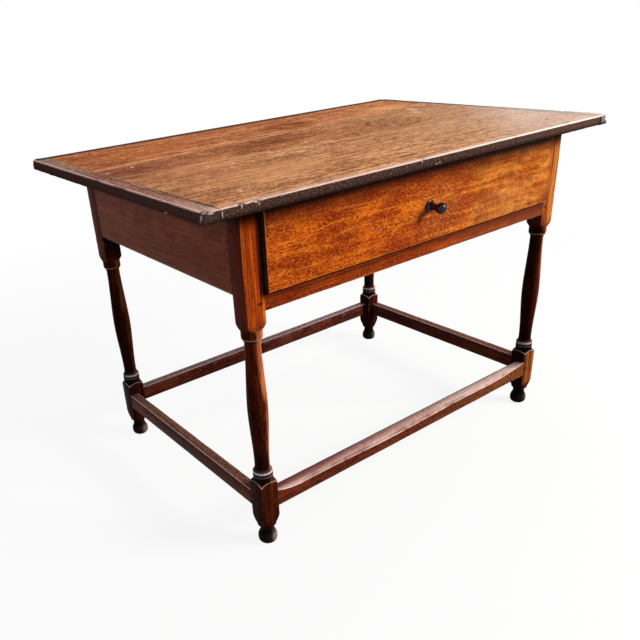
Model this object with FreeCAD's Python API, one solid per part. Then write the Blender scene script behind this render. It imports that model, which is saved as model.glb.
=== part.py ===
"""Tavern table: breadboard top, turned legs, box stretcher and one long drawer.

Millimetres.  +Z is up, the floor is z = 0 and the origin lies under the middle of the top.
The drawer faces -Y, and the table's left and right are -X and +X.
Every piece of wood and every group of like pegs or nails is written to its own STEP file.
"""
import FreeCAD, Part
import math
import os

from FreeCAD import Vector

# ---- overall ------------------------------------------------------------------------------
table_height = 731.0          # floor to the top surface
top_length = 1090.0           # along X, breadboard ends included
top_width = 713.0             # along Y
top_thickness = 21.0
overhang_ends = 96.0          # top beyond the posts, left and right
overhang_sides = 48.5         # top beyond the posts, front and back
post_size = 41.0              # square timber of a leg

# ---- top ----------------------------------------------------------------------------------
breadboard_width = 32.0       # end boards, laid across the grain of the others
back_seam_left = 96.0         # seam behind the middle board, in front of (-) or behind (+) centre
back_seam_right = 150.0
front_seam_left = -8.0        # seam in front of the middle board
front_seam_right = -130.0
tongue_thickness = 7.0        # tongue on the boards' ends, in a groove of the breadboards
tongue_length = 14.0
tongue_stop = 12.0            # the tongue stops short of the long edges
top_arris = 1.6               # rounding worn on the upper and lower edges
top_corner = 4.0              # rounding of the four corners seen from above

# ---- leg turning, heights above the floor -------------------------------------------------
turning_allowance = 0.3       # the turned parts stay this far inside the square timber
sole_radius = 11.0            # worn flat of the squat ball foot
foot_widest = 10.5
foot_straight = 5.0           # height over which the foot keeps its full width
ankle_radius = 14.4
ankle_height = 34.0
lower_collar_bottom = 46.0
lower_shoulder = 49.5         # where the long turned shoulder under the block starts
block_bottom = 73.0           # corners of the square block that takes the stretchers
block_top = 151.0
upper_shoulder = 157.0
ring_groove = 173.0           # groove between the collar and the ring above the block
ring_groove_height = 2.4
ring_groove_depth = 1.7
ring_height = 6.0
cove_height = 12.0            # hollow above the ring
neck_radius = 15.2            # slender ends of the baluster
belly_height = 320.0          # the baluster is thickest here
neck_straight = 5.0
fillet_radius = 17.2          # small step under the top collar
fillet_height = 2.2
top_collar_height = 18.5      # turned collar under the square post
top_collar_round = 6.0
post_shoulder = 14.5          # height of the turned shoulders at the foot of the post
post_below_rail = 34.5        # drawer rail to the start of those shoulders
shoulder_bow = 0.62           # share of a shoulder's reach that it has at half its height
shoulder_flare = 1.5          # slope on which the shoulder tool runs out past the corners

# ---- aprons, drawer rail, stretchers ------------------------------------------------------
apron_depth = 159.0           # top to bottom of the end and back aprons
apron_thickness = 22.0
rail_height = 33.5            # rail under the drawer
rail_thickness = 25.0
stretcher_bottom = 91.0
stretcher_height = 37.0
stretcher_thickness = 23.0
tenon_thickness = 9.0
tenon_setback = 7.0           # outer face of a rail to its tenon
tenon_gap = 3.0               # wood left between the two mortises of a leg
apron_tenon_margin = 14.0     # tenon cut back from the apron's edges
rail_tenon_margin = 5.0
stretcher_tenon_margin = 5.0
mortise_clearance = 0.2

# ---- worn front stretcher -----------------------------------------------------------------
wear_drop = 14.5              # how far down the front face the feet have worn
wear_reach = 25.0             # how far back across its top, past the back edge if it is thinner
wear_end_left = 3.0           # unworn length beside the left leg
wear_run_left = 120.0         # length in which the wear reaches its depth there
wear_end_right = 8.0
wear_run_right = 150.0

# ---- pegs and nails -----------------------------------------------------------------------
peg_radius = 3.5
peg_length = 26.0
peg_proud = 0.4
peg_clearance = 0.05
peg_inset = 10.0              # peg to the edge of the post that the rail enters
apron_peg_margin = 42.0       # apron pegs to the apron's upper and lower edges
top_peg_bite = 25.0           # how far the pegs of the top go into the posts
top_peg_inset_x = 10.0        # peg to the inner faces of the post
top_peg_inset_y = 18.0
nail_radius = 1.4
nail_head_radius = 3.6
nail_head_height = 1.0
nail_clearance = 0.05
nail_bite = 12.0              # length of a nail in the piece behind
nail_end = 60.0               # first nail to the end of a strip
nails_per_strip = 3

# ---- drawer -------------------------------------------------------------------------------
drawer_top_gap = 1.5          # drawer front to the underside of the top
drawer_run_gap = 0.5          # drawer to the rail and runners that carry it
drawer_side_gap = 3.0         # drawer to a post, each side
drawer_back_gap = 0.5         # shut drawer to the back apron
drawer_proud = 9.0            # how far the drawer stands open at rest
drawer_front_height = 154.5
drawer_front_thickness = 20.0
drawer_side_height = 145.0
drawer_side_thickness = 12.0
drawer_back_drop = 4.0        # top of the drawer back below the top of the sides
drawer_back_thickness = 12.0
dovetail_lap = 6.0            # wood in front of the half-blind dovetails
dovetail_count = 3
dovetail_pin = 15.0           # wood between two tails at their root
dovetail_flare = 3.0
bottom_thickness = 7.0
bottom_lift = 8.0             # underside of the bottom above the drawer's lower edge
bottom_groove_depth = 5.0
bottom_groove_clearance = 0.2
runner_width = 39.0
runner_height = 18.0
guide_height = 30.0
bottom_nail_count = 5

# ---- knob, distances forward from the face of the drawer ----------------------------------
knob_height = 71.0            # knob's axis above the lower edge of the drawer
knob_flange_radius = 12.5
knob_flange_edge = 2.4
knob_flare = 0.45             # how steeply the hollow of its foot starts
knob_neck_radius = 6.2
knob_neck = 16.5
knob_ball_radius = 11.4
knob_ball_centre = 30.0
knob_length = 39.3
knob_shank_radius = 5.0
knob_shank_clearance = 0.05

# ---- places that follow from the sizes ----------------------------------------------------
frame_length = top_length - 2 * overhang_ends
frame_depth = top_width - 2 * overhang_sides
leg_height = table_height - top_thickness
rail_top = leg_height - drawer_top_gap - drawer_front_height - drawer_run_gap
rail_bottom = rail_top - rail_height
post_bottom = rail_bottom - post_below_rail
apron_bottom = leg_height - apron_depth
stretcher_top = stretcher_bottom + stretcher_height
post_half = post_size / 2
turned_radius = post_half - turning_allowance
corner_radius = post_half * math.sqrt(2)
blank_corner = post_size        # safely beyond the corner of the square timber
tenon_length = post_size - tenon_setback - tenon_thickness - tenon_gap
frame_x = frame_length / 2
frame_y = frame_depth / 2
leg_x = frame_x - post_half
leg_y = frame_y - post_half
inner_x = frame_x - post_size
inner_y = frame_y - post_size
board_x = top_length / 2 - breadboard_width
drawer_bottom_z = rail_top + drawer_run_gap
drawer_face_y = -frame_y - drawer_proud
drawer_inside_y = drawer_face_y + drawer_front_thickness
drawer_rear_y = frame_y - apron_thickness - drawer_back_gap - drawer_proud
drawer_half = inner_x - drawer_side_gap
side_inner_x = drawer_half - drawer_side_thickness
drawer_side_top = drawer_bottom_z + drawer_side_height
bottom_z = drawer_bottom_z + bottom_lift
bottom_top_z = bottom_z + bottom_thickness

FRONT, RIGHT, BACK, LEFT = 0, 90, 180, 270     # turns about Z that bring a front rail to a side


def box(low, high):
    """Block between two corners."""
    return Part.makeBox(high[0] - low[0], high[1] - low[1], high[2] - low[2], Vector(*low))


def rod(radius, start, end):
    """Round rod between two points."""
    axis = Vector(*end) - Vector(*start)
    return Part.makeCylinder(radius, axis.Length, Vector(*start), axis)


def prism(points, depth):
    """Polygon of 3-D points pushed along a vector."""
    corners = [Vector(*point) for point in points]
    return Part.Face(Part.makePolygon(corners + corners[:1])).extrude(Vector(*depth))


def turned(shape, angle):
    """Copy of a shape turned about the table's upright centre line."""
    copy = shape.copy()
    copy.rotate(Vector(0, 0, 0), Vector(0, 0, 1), angle)
    return copy


def line(start, end):
    return Part.LineSegment(Vector(start[0], 0, start[1]), Vector(end[0], 0, end[1])).toShape()


def arc(start, middle, end):
    """Arc in the XZ plane through three (radius, height) points."""
    points = [Vector(point[0], 0, point[1]) for point in (start, middle, end)]
    return Part.Arc(*points).toShape()


def flowing(points, directions):
    """Smooth curve through (radius, height) points, with its direction at each."""
    curve = Part.BSplineCurve()
    curve.interpolate(
        Points=[Vector(point[0], 0, point[1]) for point in points],
        Tangents=[Vector(way[0], 0, way[1]) for way in directions],
        TangentFlags=[True] * len(points),
    )
    return curve.toShape()


def revolved(edges):
    """Closed outline of (radius, height) edges spun about the upright axis."""
    outline = Part.Wire(Part.__sortEdges__(edges))
    return Part.Face(outline).revolve(Vector(0, 0, 0), Vector(0, 0, 1), 360)


def rounded(shape, radius, chosen):
    """Rounds the edges whose middle point the test picks."""
    edges = [edge for edge in shape.Edges if chosen(edge.CenterOfMass)]
    return shape.makeFillet(radius, edges)


def near(value, target):
    return abs(value - target) < 1e-4


def halfway(low, high):
    return (low + high) / 2


# ---- rails, stretchers and their joints ---------------------------------------------------
class Rail:
    """A piece between two legs, its outer face flush with theirs and tenoned into both.

    It is laid out as the front one, along X, and turned to its side of the table.
    """

    def __init__(self, side, low, high, thickness, margin, peg_heights):
        across = side in (LEFT, RIGHT)
        self.side = side
        self.low = low
        self.high = high
        self.thickness = thickness
        self.margin = margin
        self.peg_heights = peg_heights
        self.face = -frame_x if across else -frame_y
        self.half = inner_y if across else inner_x

    def board(self):
        return box((-self.half, self.face, self.low), (self.half, self.face + self.thickness, self.high))

    def tenons(self, spare=0.0):
        """Both tenons, or with some spare room the two mortises."""
        near_face = self.face + tenon_setback - spare
        far_face = self.face + tenon_setback + tenon_thickness + spare
        low = self.low + self.margin - spare
        high = self.high - self.margin + spare
        reach = self.half + tenon_length + spare
        return [
            box((-reach, near_face, low), (-self.half, far_face, high)),
            box((self.half, near_face, low), (reach, far_face, high)),
        ]

    def pegs(self, spare=0.0):
        """Pegs driven from the outer face through post and tenon, or their holes."""
        start = self.face - peg_proud
        end = self.face + peg_length
        places = [(side * (self.half + peg_inset), height)
                  for side in (-1, 1) for height in self.peg_heights]
        return [rod(peg_radius + spare, (x, start, z), (x, end + spare, z)) for x, z in places]

    def placed(self, shapes):
        return [turned(shape, self.side) for shape in shapes]

    def solid(self, worn=()):
        shape = self.board().fuse(self.tenons())
        for cut in list(worn) + self.pegs(peg_clearance):
            shape = shape.cut(cut)
        return turned(shape.removeSplitter(), self.side)


apron_peg_heights = (apron_bottom + apron_peg_margin, leg_height - apron_peg_margin)
rail_middle = halfway(rail_bottom, rail_top)
stretcher_middle = halfway(stretcher_bottom, stretcher_top)

aprons = {
    "apron_left": Rail(LEFT, apron_bottom, leg_height, apron_thickness, apron_tenon_margin,
                       apron_peg_heights),
    "apron_right": Rail(RIGHT, apron_bottom, leg_height, apron_thickness, apron_tenon_margin,
                        apron_peg_heights),
    "apron_back": Rail(BACK, apron_bottom, leg_height, apron_thickness, apron_tenon_margin,
                       apron_peg_heights),
}
drawer_rails = {
    "drawer_rail": Rail(FRONT, rail_bottom, rail_top, rail_thickness, rail_tenon_margin,
                        (rail_middle,)),
}
stretchers = {
    name: Rail(side, stretcher_bottom, stretcher_top, stretcher_thickness, stretcher_tenon_margin,
               (stretcher_middle,))
    for name, side in (("stretcher_front", FRONT), ("stretcher_right", RIGHT),
                       ("stretcher_back", BACK), ("stretcher_left", LEFT))
}
all_rails = list(aprons.values()) + list(drawer_rails.values()) + list(stretchers.values())


def wear():
    """Slanting hollow that feet have worn along the upper front edge of a stretcher."""
    face = -frame_y
    slope = Vector(0, wear_reach, wear_drop)
    normal = Vector(0, wear_drop, -wear_reach).normalize()
    depth = wear_drop * wear_reach / slope.Length
    left = wear_end_left - inner_x
    right = inner_x - wear_end_right
    corner = Vector(0, face, stretcher_top)

    def place(x, below):
        return corner + Vector(x, 0, 0) + normal * below

    start, first = place(left, 0), place(left + wear_run_left, depth)
    last, end = place(right - wear_run_right, depth), place(right, 0)
    part_way = depth * 3 / 4         # depth at mid-run of an arc that ends level
    sweep_in = Part.Arc(start, place(left + wear_run_left / 2, part_way), first).toShape()
    sweep_out = Part.Arc(last, place(right - wear_run_right / 2, part_way), end).toShape()
    above_start, above_end = place(left, -depth), place(right, -depth)
    outline = Part.Wire([
        sweep_in,
        Part.LineSegment(first, last).toShape(),
        sweep_out,
        Part.LineSegment(end, above_end).toShape(),
        Part.LineSegment(above_end, above_start).toShape(),
        Part.LineSegment(above_start, start).toShape(),
    ])
    tool = Part.Face(outline).extrude(slope * 2)
    tool.translate(slope * -1)
    return tool


# ---- legs ---------------------------------------------------------------------------------
def turned_leg():
    """Everything of a leg that is round, from the ball foot to the collar under the post."""
    foot_top = foot_widest + foot_straight
    groove_radius = turned_radius - ring_groove_depth
    groove_top = ring_groove + ring_groove_height
    ring_top = groove_top + ring_height
    cove_top = ring_top + cove_height
    collar_bottom = post_bottom - top_collar_height
    round_top = collar_bottom + top_collar_round
    fillet_bottom = collar_bottom - fillet_height
    neck_low = cove_top + neck_straight
    neck_high = fillet_bottom - neck_straight
    bulge = math.sqrt(0.5)
    upright = (0, 1)
    edges = [
        line((0, 0), (sole_radius, 0)),
        arc((sole_radius, 0),
            (sole_radius + (turned_radius - sole_radius) * bulge, foot_widest * (1 - bulge)),
            (turned_radius, foot_widest)),
        line((turned_radius, foot_widest), (turned_radius, foot_top)),
        flowing([(turned_radius, foot_top), (ankle_radius, ankle_height)], [upright, upright]),
        arc((ankle_radius, ankle_height),
            (ankle_radius + (turned_radius - ankle_radius) * (1 - bulge),
             lower_collar_bottom - (lower_collar_bottom - ankle_height) * (1 - bulge)),
            (turned_radius, lower_collar_bottom)),
        line((turned_radius, lower_collar_bottom), (turned_radius, ring_groove)),
        line((turned_radius, ring_groove), (groove_radius, ring_groove)),
        line((groove_radius, ring_groove), (groove_radius, groove_top)),
        arc((groove_radius, groove_top), (turned_radius, halfway(groove_top, ring_top)),
            (groove_radius, ring_top)),
        arc((groove_radius, ring_top),
            (groove_radius - (groove_radius - neck_radius) * bulge,
             cove_top - cove_height * bulge),
            (neck_radius, cove_top)),
        line((neck_radius, cove_top), (neck_radius, neck_low)),
        flowing([(neck_radius, neck_low), (turned_radius, belly_height), (neck_radius, neck_high)],
                [upright, upright, upright]),
        line((neck_radius, neck_high), (neck_radius, fillet_bottom)),
        line((neck_radius, fillet_bottom), (fillet_radius, fillet_bottom)),
        line((fillet_radius, fillet_bottom), (fillet_radius, collar_bottom)),
        arc((fillet_radius, collar_bottom),
            (fillet_radius + (turned_radius - fillet_radius) * bulge,
             round_top - top_collar_round * bulge),
            (turned_radius, round_top)),
        line((turned_radius, round_top), (turned_radius, leg_height)),
        line((turned_radius, leg_height), (0, leg_height)),
        line((0, leg_height), (0, 0)),
    ]
    return revolved(edges)


def shoulder(start, corner):
    """Edges of a turned shoulder, from the collar (start) out past the timber's corners (corner)."""
    reach = corner_radius - turned_radius
    run_out = (blank_corner - corner_radius) * math.copysign(shoulder_flare, corner - start)
    end = corner + run_out
    edges = [
        arc((turned_radius, start), (turned_radius + reach * shoulder_bow, halfway(start, corner)),
            (corner_radius, corner)),
        line((corner_radius, corner), (blank_corner, end)),
    ]
    return edges, end


def square_post():
    """Square top of a leg, its lower corners rounded off by the turning."""
    blank = box((-post_half, -post_half, post_bottom), (post_half, post_half, leg_height))
    sweep, end = shoulder(post_bottom, post_bottom + post_shoulder)
    lathe = revolved(sweep + [
        line((0, post_bottom), (turned_radius, post_bottom)),
        line((blank_corner, end), (blank_corner, leg_height)),
        line((blank_corner, leg_height), (0, leg_height)),
        line((0, leg_height), (0, post_bottom)),
    ])
    return blank.common(lathe)


def square_block():
    """Square block that takes the stretchers, rounded off above and below."""
    blank = box((-post_half, -post_half, lower_shoulder), (post_half, post_half, upper_shoulder))
    low_sweep, low_end = shoulder(lower_shoulder, block_bottom)
    high_sweep, high_end = shoulder(upper_shoulder, block_top)
    lathe = revolved(low_sweep + high_sweep + [
        line((0, lower_shoulder), (turned_radius, lower_shoulder)),
        line((blank_corner, low_end), (blank_corner, high_end)),
        line((turned_radius, upper_shoulder), (0, upper_shoulder)),
        line((0, upper_shoulder), (0, lower_shoulder)),
    ])
    return blank.common(lathe)


def leg(side_x, side_y, cuts):
    """One leg at its corner, with the mortises and peg holes of what it carries."""
    shape = turned_leg().fuse([square_post(), square_block()]).removeSplitter()
    shape.translate(Vector(side_x * leg_x, side_y * leg_y, 0))
    reach = shape.BoundBox
    for cut in cuts:
        if cut.BoundBox.intersect(reach):
            shape = shape.cut(cut)
    return shape


# ---- top ----------------------------------------------------------------------------------
def top_pegs(spare=0.0):
    """Pegs through the top into the four posts, or their holes."""
    x = inner_x + top_peg_inset_x
    y = inner_y + top_peg_inset_y
    low = leg_height - top_peg_bite
    return [rod(peg_radius + spare, (side_x * x, side_y * y, low),
                (side_x * x, side_y * y, table_height))
            for side_x in (-1, 1) for side_y in (-1, 1)]


def top_board(front_left, front_right, back_left, back_right, stop_front, stop_back):
    """Lengthwise board between two seams, with a tongue on each end."""
    low = leg_height
    outline = [(-board_x, front_left, low), (board_x, front_right, low),
               (board_x, back_right, low), (-board_x, back_left, low)]
    shape = prism(outline, (0, 0, top_thickness))
    tongue_low = low + halfway(0, top_thickness - tongue_thickness)
    tongue_high = tongue_low + tongue_thickness
    reach = board_x + tongue_length
    shape = shape.fuse([
        box((-reach, front_left + stop_front, tongue_low), (-board_x, back_left - stop_back, tongue_high)),
        box((board_x, front_right + stop_front, tongue_low), (reach, back_right - stop_back, tongue_high)),
    ])
    for hole in top_pegs(peg_clearance):
        shape = shape.cut(hole)
    return shape.removeSplitter()


def top_boards():
    half = top_width / 2
    low, high = leg_height, table_height
    back = top_board(back_seam_left, back_seam_right, half, half, 0, tongue_stop)
    middle = top_board(front_seam_left, front_seam_right, back_seam_left, back_seam_right, 0, 0)
    front = top_board(-half, -half, front_seam_left, front_seam_right, tongue_stop, 0)
    return {
        "top_board_back": rounded(back, top_arris,
                                  lambda p: near(p.y, half) and (near(p.z, low) or near(p.z, high))),
        "top_board_middle": middle,
        "top_board_front": rounded(front, top_arris,
                                   lambda p: near(p.y, -half) and (near(p.z, low) or near(p.z, high))),
    }


def breadboard(side):
    """Cross board on one end of the top, grooved for the tongues."""
    half = top_width / 2
    end = top_length / 2
    shape = box((board_x, -half, leg_height), (end, half, table_height))
    shape = rounded(shape, top_corner, lambda p: near(p.x, end) and near(abs(p.y), half))
    outer = [edge for edge in shape.Edges
             if (near(edge.CenterOfMass.z, leg_height) or near(edge.CenterOfMass.z, table_height))
             and not near(edge.CenterOfMass.x, board_x)]
    shape = shape.makeFillet(top_arris, outer)
    groove_low = leg_height + halfway(0, top_thickness - tongue_thickness) - mortise_clearance
    groove_high = groove_low + tongue_thickness + 2 * mortise_clearance
    groove_half = half - tongue_stop + mortise_clearance
    groove_end = board_x + tongue_length + mortise_clearance
    shape = shape.cut(box((board_x, -groove_half, groove_low), (groove_end, groove_half, groove_high)))
    return turned(shape, RIGHT + RIGHT) if side < 0 else shape


# ---- drawer supports ----------------------------------------------------------------------
def nail(start, end, spare=0.0):
    """Rose-head nail from the face that its head lies on to its tip."""
    way = (Vector(*end) - Vector(*start)).normalize()
    head_end = Vector(*start) + way * nail_head_height
    head = rod(nail_head_radius + spare, start, head_end)
    return head.fuse(rod(nail_radius + spare, start, end)).removeSplitter()


def strip_places():
    """Places of the nails along a strip between the front and back posts."""
    first = -inner_y + nail_end
    step = (inner_y - nail_end - first) / (nails_per_strip - 1)
    return [first + step * index for index in range(nails_per_strip)]


guide_x = frame_x - apron_thickness
runner_bottom = rail_top - runner_height
guide_middle = rail_top + guide_height / 2


def guide_nails(side, spare=0.0):
    """Nails through a guide into the end apron."""
    return [nail((side * inner_x, y, guide_middle), (side * (guide_x + nail_bite), y, guide_middle), spare)
            for y in strip_places()]


def runner_nails(side, spare=0.0):
    """Nails up through a runner into the guide above it."""
    x = side * halfway(inner_x, guide_x)
    return [nail((x, y + nail_bite, runner_bottom), (x, y + nail_bite, rail_top + nail_bite), spare)
            for y in strip_places()]


def guide(side):
    shape = box((inner_x, -inner_y, rail_top), (guide_x, inner_y, rail_top + guide_height))
    if side < 0:
        shape = turned(shape, BACK)
    return cut_all(shape, guide_nails(side, nail_clearance) + runner_nails(side, nail_clearance))


def runner(side):
    shape = box((guide_x - runner_width, -inner_y, runner_bottom), (guide_x, inner_y, rail_top))
    if side < 0:
        shape = turned(shape, BACK)
    return cut_all(shape, runner_nails(side, nail_clearance))


def cut_all(shape, tools):
    for tool in tools:
        shape = shape.cut(tool)
    return shape


# ---- drawer -------------------------------------------------------------------------------
def tails(start, way, length):
    """Outlines of a side's dovetails at one end, as blocks across the side's thickness.

    start is the tails' root along Y, way is -1 towards the front and +1 towards the back.
    """
    pitch = drawer_side_height / dovetail_count
    shapes = []
    for index in range(dovetail_count):
        low = drawer_bottom_z + pitch * index + dovetail_pin / 2
        high = low + pitch - dovetail_pin
        tip = start + way * length
        outline = [(side_inner_x, start, low), (side_inner_x, tip, low - dovetail_flare),
                   (side_inner_x, tip, high + dovetail_flare), (side_inner_x, start, high)]
        shapes.append(prism(outline, (drawer_side_thickness, 0, 0)))
    return shapes


front_tail_length = drawer_front_thickness - dovetail_lap
back_face_y = drawer_rear_y - drawer_back_thickness
bottom_reach_x = side_inner_x + bottom_groove_depth
bottom_front_y = drawer_inside_y - bottom_groove_depth
bottom_rear_y = drawer_rear_y
bottom_seam_y = halfway(bottom_front_y, bottom_rear_y)


def both_sides(shapes):
    """The shapes and their mirror images on the drawer's other side."""
    mirrored = [shape.mirror(Vector(0, 0, 0), Vector(1, 0, 0)) for shape in shapes]
    return list(shapes) + mirrored


def bottom_grooves():
    """Grooves for the bottom in the front and both sides."""
    low = bottom_z - bottom_groove_clearance
    high = bottom_top_z + bottom_groove_clearance
    reach = bottom_reach_x + bottom_groove_clearance
    front = bottom_front_y - bottom_groove_clearance
    return box((-reach, front, low), (reach, drawer_rear_y, high))


def drawer_front():
    shape = box((-drawer_half, drawer_face_y, drawer_bottom_z),
                (drawer_half, drawer_inside_y, drawer_bottom_z + drawer_front_height))
    sockets = both_sides(tails(drawer_inside_y, -1, front_tail_length))
    shape = cut_all(shape, sockets + [bottom_grooves(), knob_hole()])
    return shape


def drawer_side(side):
    blank = box((side_inner_x, drawer_inside_y, drawer_bottom_z),
                (drawer_half, back_face_y, drawer_side_top))
    shape = blank.fuse(tails(drawer_inside_y, -1, front_tail_length)
                       + tails(back_face_y, 1, drawer_back_thickness)).removeSplitter()
    shape = shape.cut(bottom_grooves())
    return shape if side > 0 else shape.mirror(Vector(0, 0, 0), Vector(1, 0, 0))


def drawer_back():
    blank = box((-drawer_half, back_face_y, bottom_top_z),
                (drawer_half, drawer_rear_y, drawer_side_top - drawer_back_drop))
    shape = cut_all(blank, both_sides(tails(back_face_y, 1, drawer_back_thickness)))
    return cut_all(shape, bottom_nails(nail_clearance))


def bottom_board(front, rear):
    board = box((-bottom_reach_x, front, bottom_z), (bottom_reach_x, rear, bottom_top_z))
    return cut_all(board, bottom_nails(nail_clearance))


def bottom_nails(spare=0.0):
    """Nails up through the bottom into the drawer back."""
    step = 2 * side_inner_x / bottom_nail_count
    first = -side_inner_x + step / 2
    y = halfway(back_face_y, drawer_rear_y)
    places = [first + step * index for index in range(bottom_nail_count)]
    return [nail((x, y, bottom_z), (x, y, bottom_top_z + nail_bite), spare) for x in places]


def knob_hole():
    z = drawer_bottom_z + knob_height
    return rod(knob_shank_radius + knob_shank_clearance, (0, drawer_face_y, z), (0, drawer_inside_y, z))


def drawer_knob():
    """Turned knob: shank through the front, flared foot, neck and ball."""
    foot = knob_flange_edge
    neck = [(knob_flange_radius, foot), (knob_neck_radius, knob_neck),
            (knob_ball_radius, knob_ball_centre), (0, knob_length)]
    ways = [(-1, knob_flare), (0, 1), (0, 1), (-1, 0)]
    shape = revolved([
        line((0, -drawer_front_thickness), (knob_shank_radius, -drawer_front_thickness)),
        line((knob_shank_radius, -drawer_front_thickness), (knob_shank_radius, 0)),
        line((knob_shank_radius, 0), (knob_flange_radius, 0)),
        line((knob_flange_radius, 0), (knob_flange_radius, foot)),
        flowing(neck, ways),
        line((0, knob_length), (0, -drawer_front_thickness)),
    ])
    shape.rotate(Vector(0, 0, 0), Vector(1, 0, 0), 90)
    shape.translate(Vector(0, drawer_face_y, drawer_bottom_z + knob_height))
    return shape


# ---- the assembly -------------------------------------------------------------------------
def placed_parts(rails, shapes_of, spare=0.0):
    """Tenons or pegs of some rails, each turned to its place."""
    found = []
    for rail in rails:
        found += rail.placed(shapes_of(rail, spare))
    return found


def build():
    nodes = {}
    nodes.update(top_boards())
    nodes["breadboard_left"] = breadboard(-1)
    nodes["breadboard_right"] = breadboard(1)
    nodes["top_pegs"] = Part.makeCompound(top_pegs())
    leg_cuts = (placed_parts(all_rails, Rail.tenons, mortise_clearance)
                + placed_parts(all_rails, Rail.pegs, peg_clearance) + top_pegs(peg_clearance))
    for depth_name, side_y in (("front", -1), ("back", 1)):
        for side_name, side_x in (("left", -1), ("right", 1)):
            nodes[f"leg_{depth_name}_{side_name}"] = leg(side_x, side_y, leg_cuts)
    for name, rail in aprons.items():
        nodes[name] = rail.solid()
    for side_name, side in (("left", -1), ("right", 1)):
        apron = nodes[f"apron_{side_name}"]
        nodes[f"apron_{side_name}"] = cut_all(apron, guide_nails(side, nail_clearance))
    nodes["drawer_rail"] = drawer_rails["drawer_rail"].solid()
    for name, rail in stretchers.items():
        nodes[name] = rail.solid([wear()] if rail.side == FRONT else ())
    nodes["apron_pegs"] = Part.makeCompound(placed_parts(aprons.values(), Rail.pegs))
    nodes["rail_pegs"] = Part.makeCompound(placed_parts(drawer_rails.values(), Rail.pegs))
    nodes["stretcher_pegs"] = Part.makeCompound(placed_parts(stretchers.values(), Rail.pegs))
    for side_name, side in (("left", -1), ("right", 1)):
        nodes[f"drawer_guide_{side_name}"] = guide(side)
        nodes[f"drawer_runner_{side_name}"] = runner(side)
    nodes["guide_nails"] = Part.makeCompound(guide_nails(-1) + guide_nails(1))
    nodes["runner_nails"] = Part.makeCompound(runner_nails(-1) + runner_nails(1))
    nodes["drawer_front"] = drawer_front()
    nodes["drawer_side_left"] = drawer_side(-1)
    nodes["drawer_side_right"] = drawer_side(1)
    nodes["drawer_back"] = drawer_back()
    nodes["drawer_bottom_front"] = bottom_board(bottom_front_y, bottom_seam_y)
    nodes["drawer_bottom_rear"] = bottom_board(bottom_seam_y, bottom_rear_y)
    nodes["bottom_nails"] = Part.makeCompound(bottom_nails())
    nodes["drawer_knob"] = drawer_knob()
    return nodes


os.makedirs("parts", exist_ok=True)
for node_name, node_shape in build().items():
    print(f"{node_name:22s} solids {len(node_shape.Solids):2d} valid {node_shape.isValid()}"
          f" volume {node_shape.Volume:10.0f}")
    node_shape.exportStep(f"parts/{node_name}.step")
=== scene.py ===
import collections
import math

import bpy
from mathutils import Matrix, Vector


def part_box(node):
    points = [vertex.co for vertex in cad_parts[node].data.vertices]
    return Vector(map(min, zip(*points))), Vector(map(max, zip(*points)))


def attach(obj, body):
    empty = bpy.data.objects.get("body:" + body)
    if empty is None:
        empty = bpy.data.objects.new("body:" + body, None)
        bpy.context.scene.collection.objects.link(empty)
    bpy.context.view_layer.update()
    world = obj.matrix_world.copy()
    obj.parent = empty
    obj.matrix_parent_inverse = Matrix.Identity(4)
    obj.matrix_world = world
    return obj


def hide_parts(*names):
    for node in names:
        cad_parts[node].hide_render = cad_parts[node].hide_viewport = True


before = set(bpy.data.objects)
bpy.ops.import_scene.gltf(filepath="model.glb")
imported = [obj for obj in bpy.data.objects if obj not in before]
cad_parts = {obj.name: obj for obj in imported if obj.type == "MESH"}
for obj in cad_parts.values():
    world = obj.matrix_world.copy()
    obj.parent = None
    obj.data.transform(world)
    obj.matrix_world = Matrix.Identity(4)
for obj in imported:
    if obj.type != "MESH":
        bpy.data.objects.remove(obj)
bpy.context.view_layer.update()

mm = 0.001

# ---- Legs ------------------------------------------------------------------------------------
# Each leg is one square length of hardwood, turned between the square parts that take the joints:
# squat ball foot, block for the stretchers, collar, ring and cove, long baluster, upper collar.
# The stain has gone nearly black on the turnings, and the square post is orange where hands rub.
leg_names = ("leg_front_left", "leg_front_right", "leg_back_left", "leg_back_right")


def box(node):
    """Corners of a node of the frame; sizes and places are in mm from here on."""
    return [Vector(corner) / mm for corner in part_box(node)]


Place = collections.namedtuple("Place", "x y z")


def in_mm(point):
    """Place of a mesh's point, to full precision."""
    return Place(*[value / mm for value in point])


leg_low, leg_high = box("leg_front_left")
post = leg_high.x - leg_low.x
post_half = post / 2
leg_height = leg_high.z
turned_radius = post_half - 0.3
corner_radius = post_half * math.sqrt(2)
sole_radius = 11
ankle_radius = 14.4
neck_radius = 15.2
groove_radius = 18.5
fillet_radius = 17.2
foot_widest = 10.5
foot_top = 15.5
ankle_height = 34
collar_low = 46
block_shoulder_low = 49.5
block_low = 73
block_high = 151
block_shoulder_high = 157
groove_low = 173
groove_high = 175.4
ring_high = 181.4
cove_high = 193.4
baluster_low = 198.4
belly_height = 320
baluster_high = 459.8
fillet_low = 464.8
upper_collar_low = 467
upper_collar_round = 473
post_low = 485.5
post_shoulder = 500


def pick(piece):
    """Only this piece is selected, and the next operators act on it."""
    bpy.ops.object.select_all(action="DESELECT")
    piece.select_set(True)
    bpy.context.view_layer.objects.active = piece


def choose(piece, kind, wanted):
    """Edit mode with only those points or edges selected that the test wants."""
    pick(piece)
    bpy.ops.object.mode_set(mode="EDIT")
    bpy.ops.mesh.select_mode(type=kind)
    bpy.ops.mesh.select_all(action="DESELECT")
    bpy.ops.object.mode_set(mode="OBJECT")
    points = piece.data.vertices
    for part in points if kind == "VERT" else piece.data.edges:
        ends = [part.index] if kind == "VERT" else part.vertices
        part.select = wanted(*[in_mm(points[end].co) for end in ends])
    bpy.ops.object.mode_set(mode="EDIT")


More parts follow.
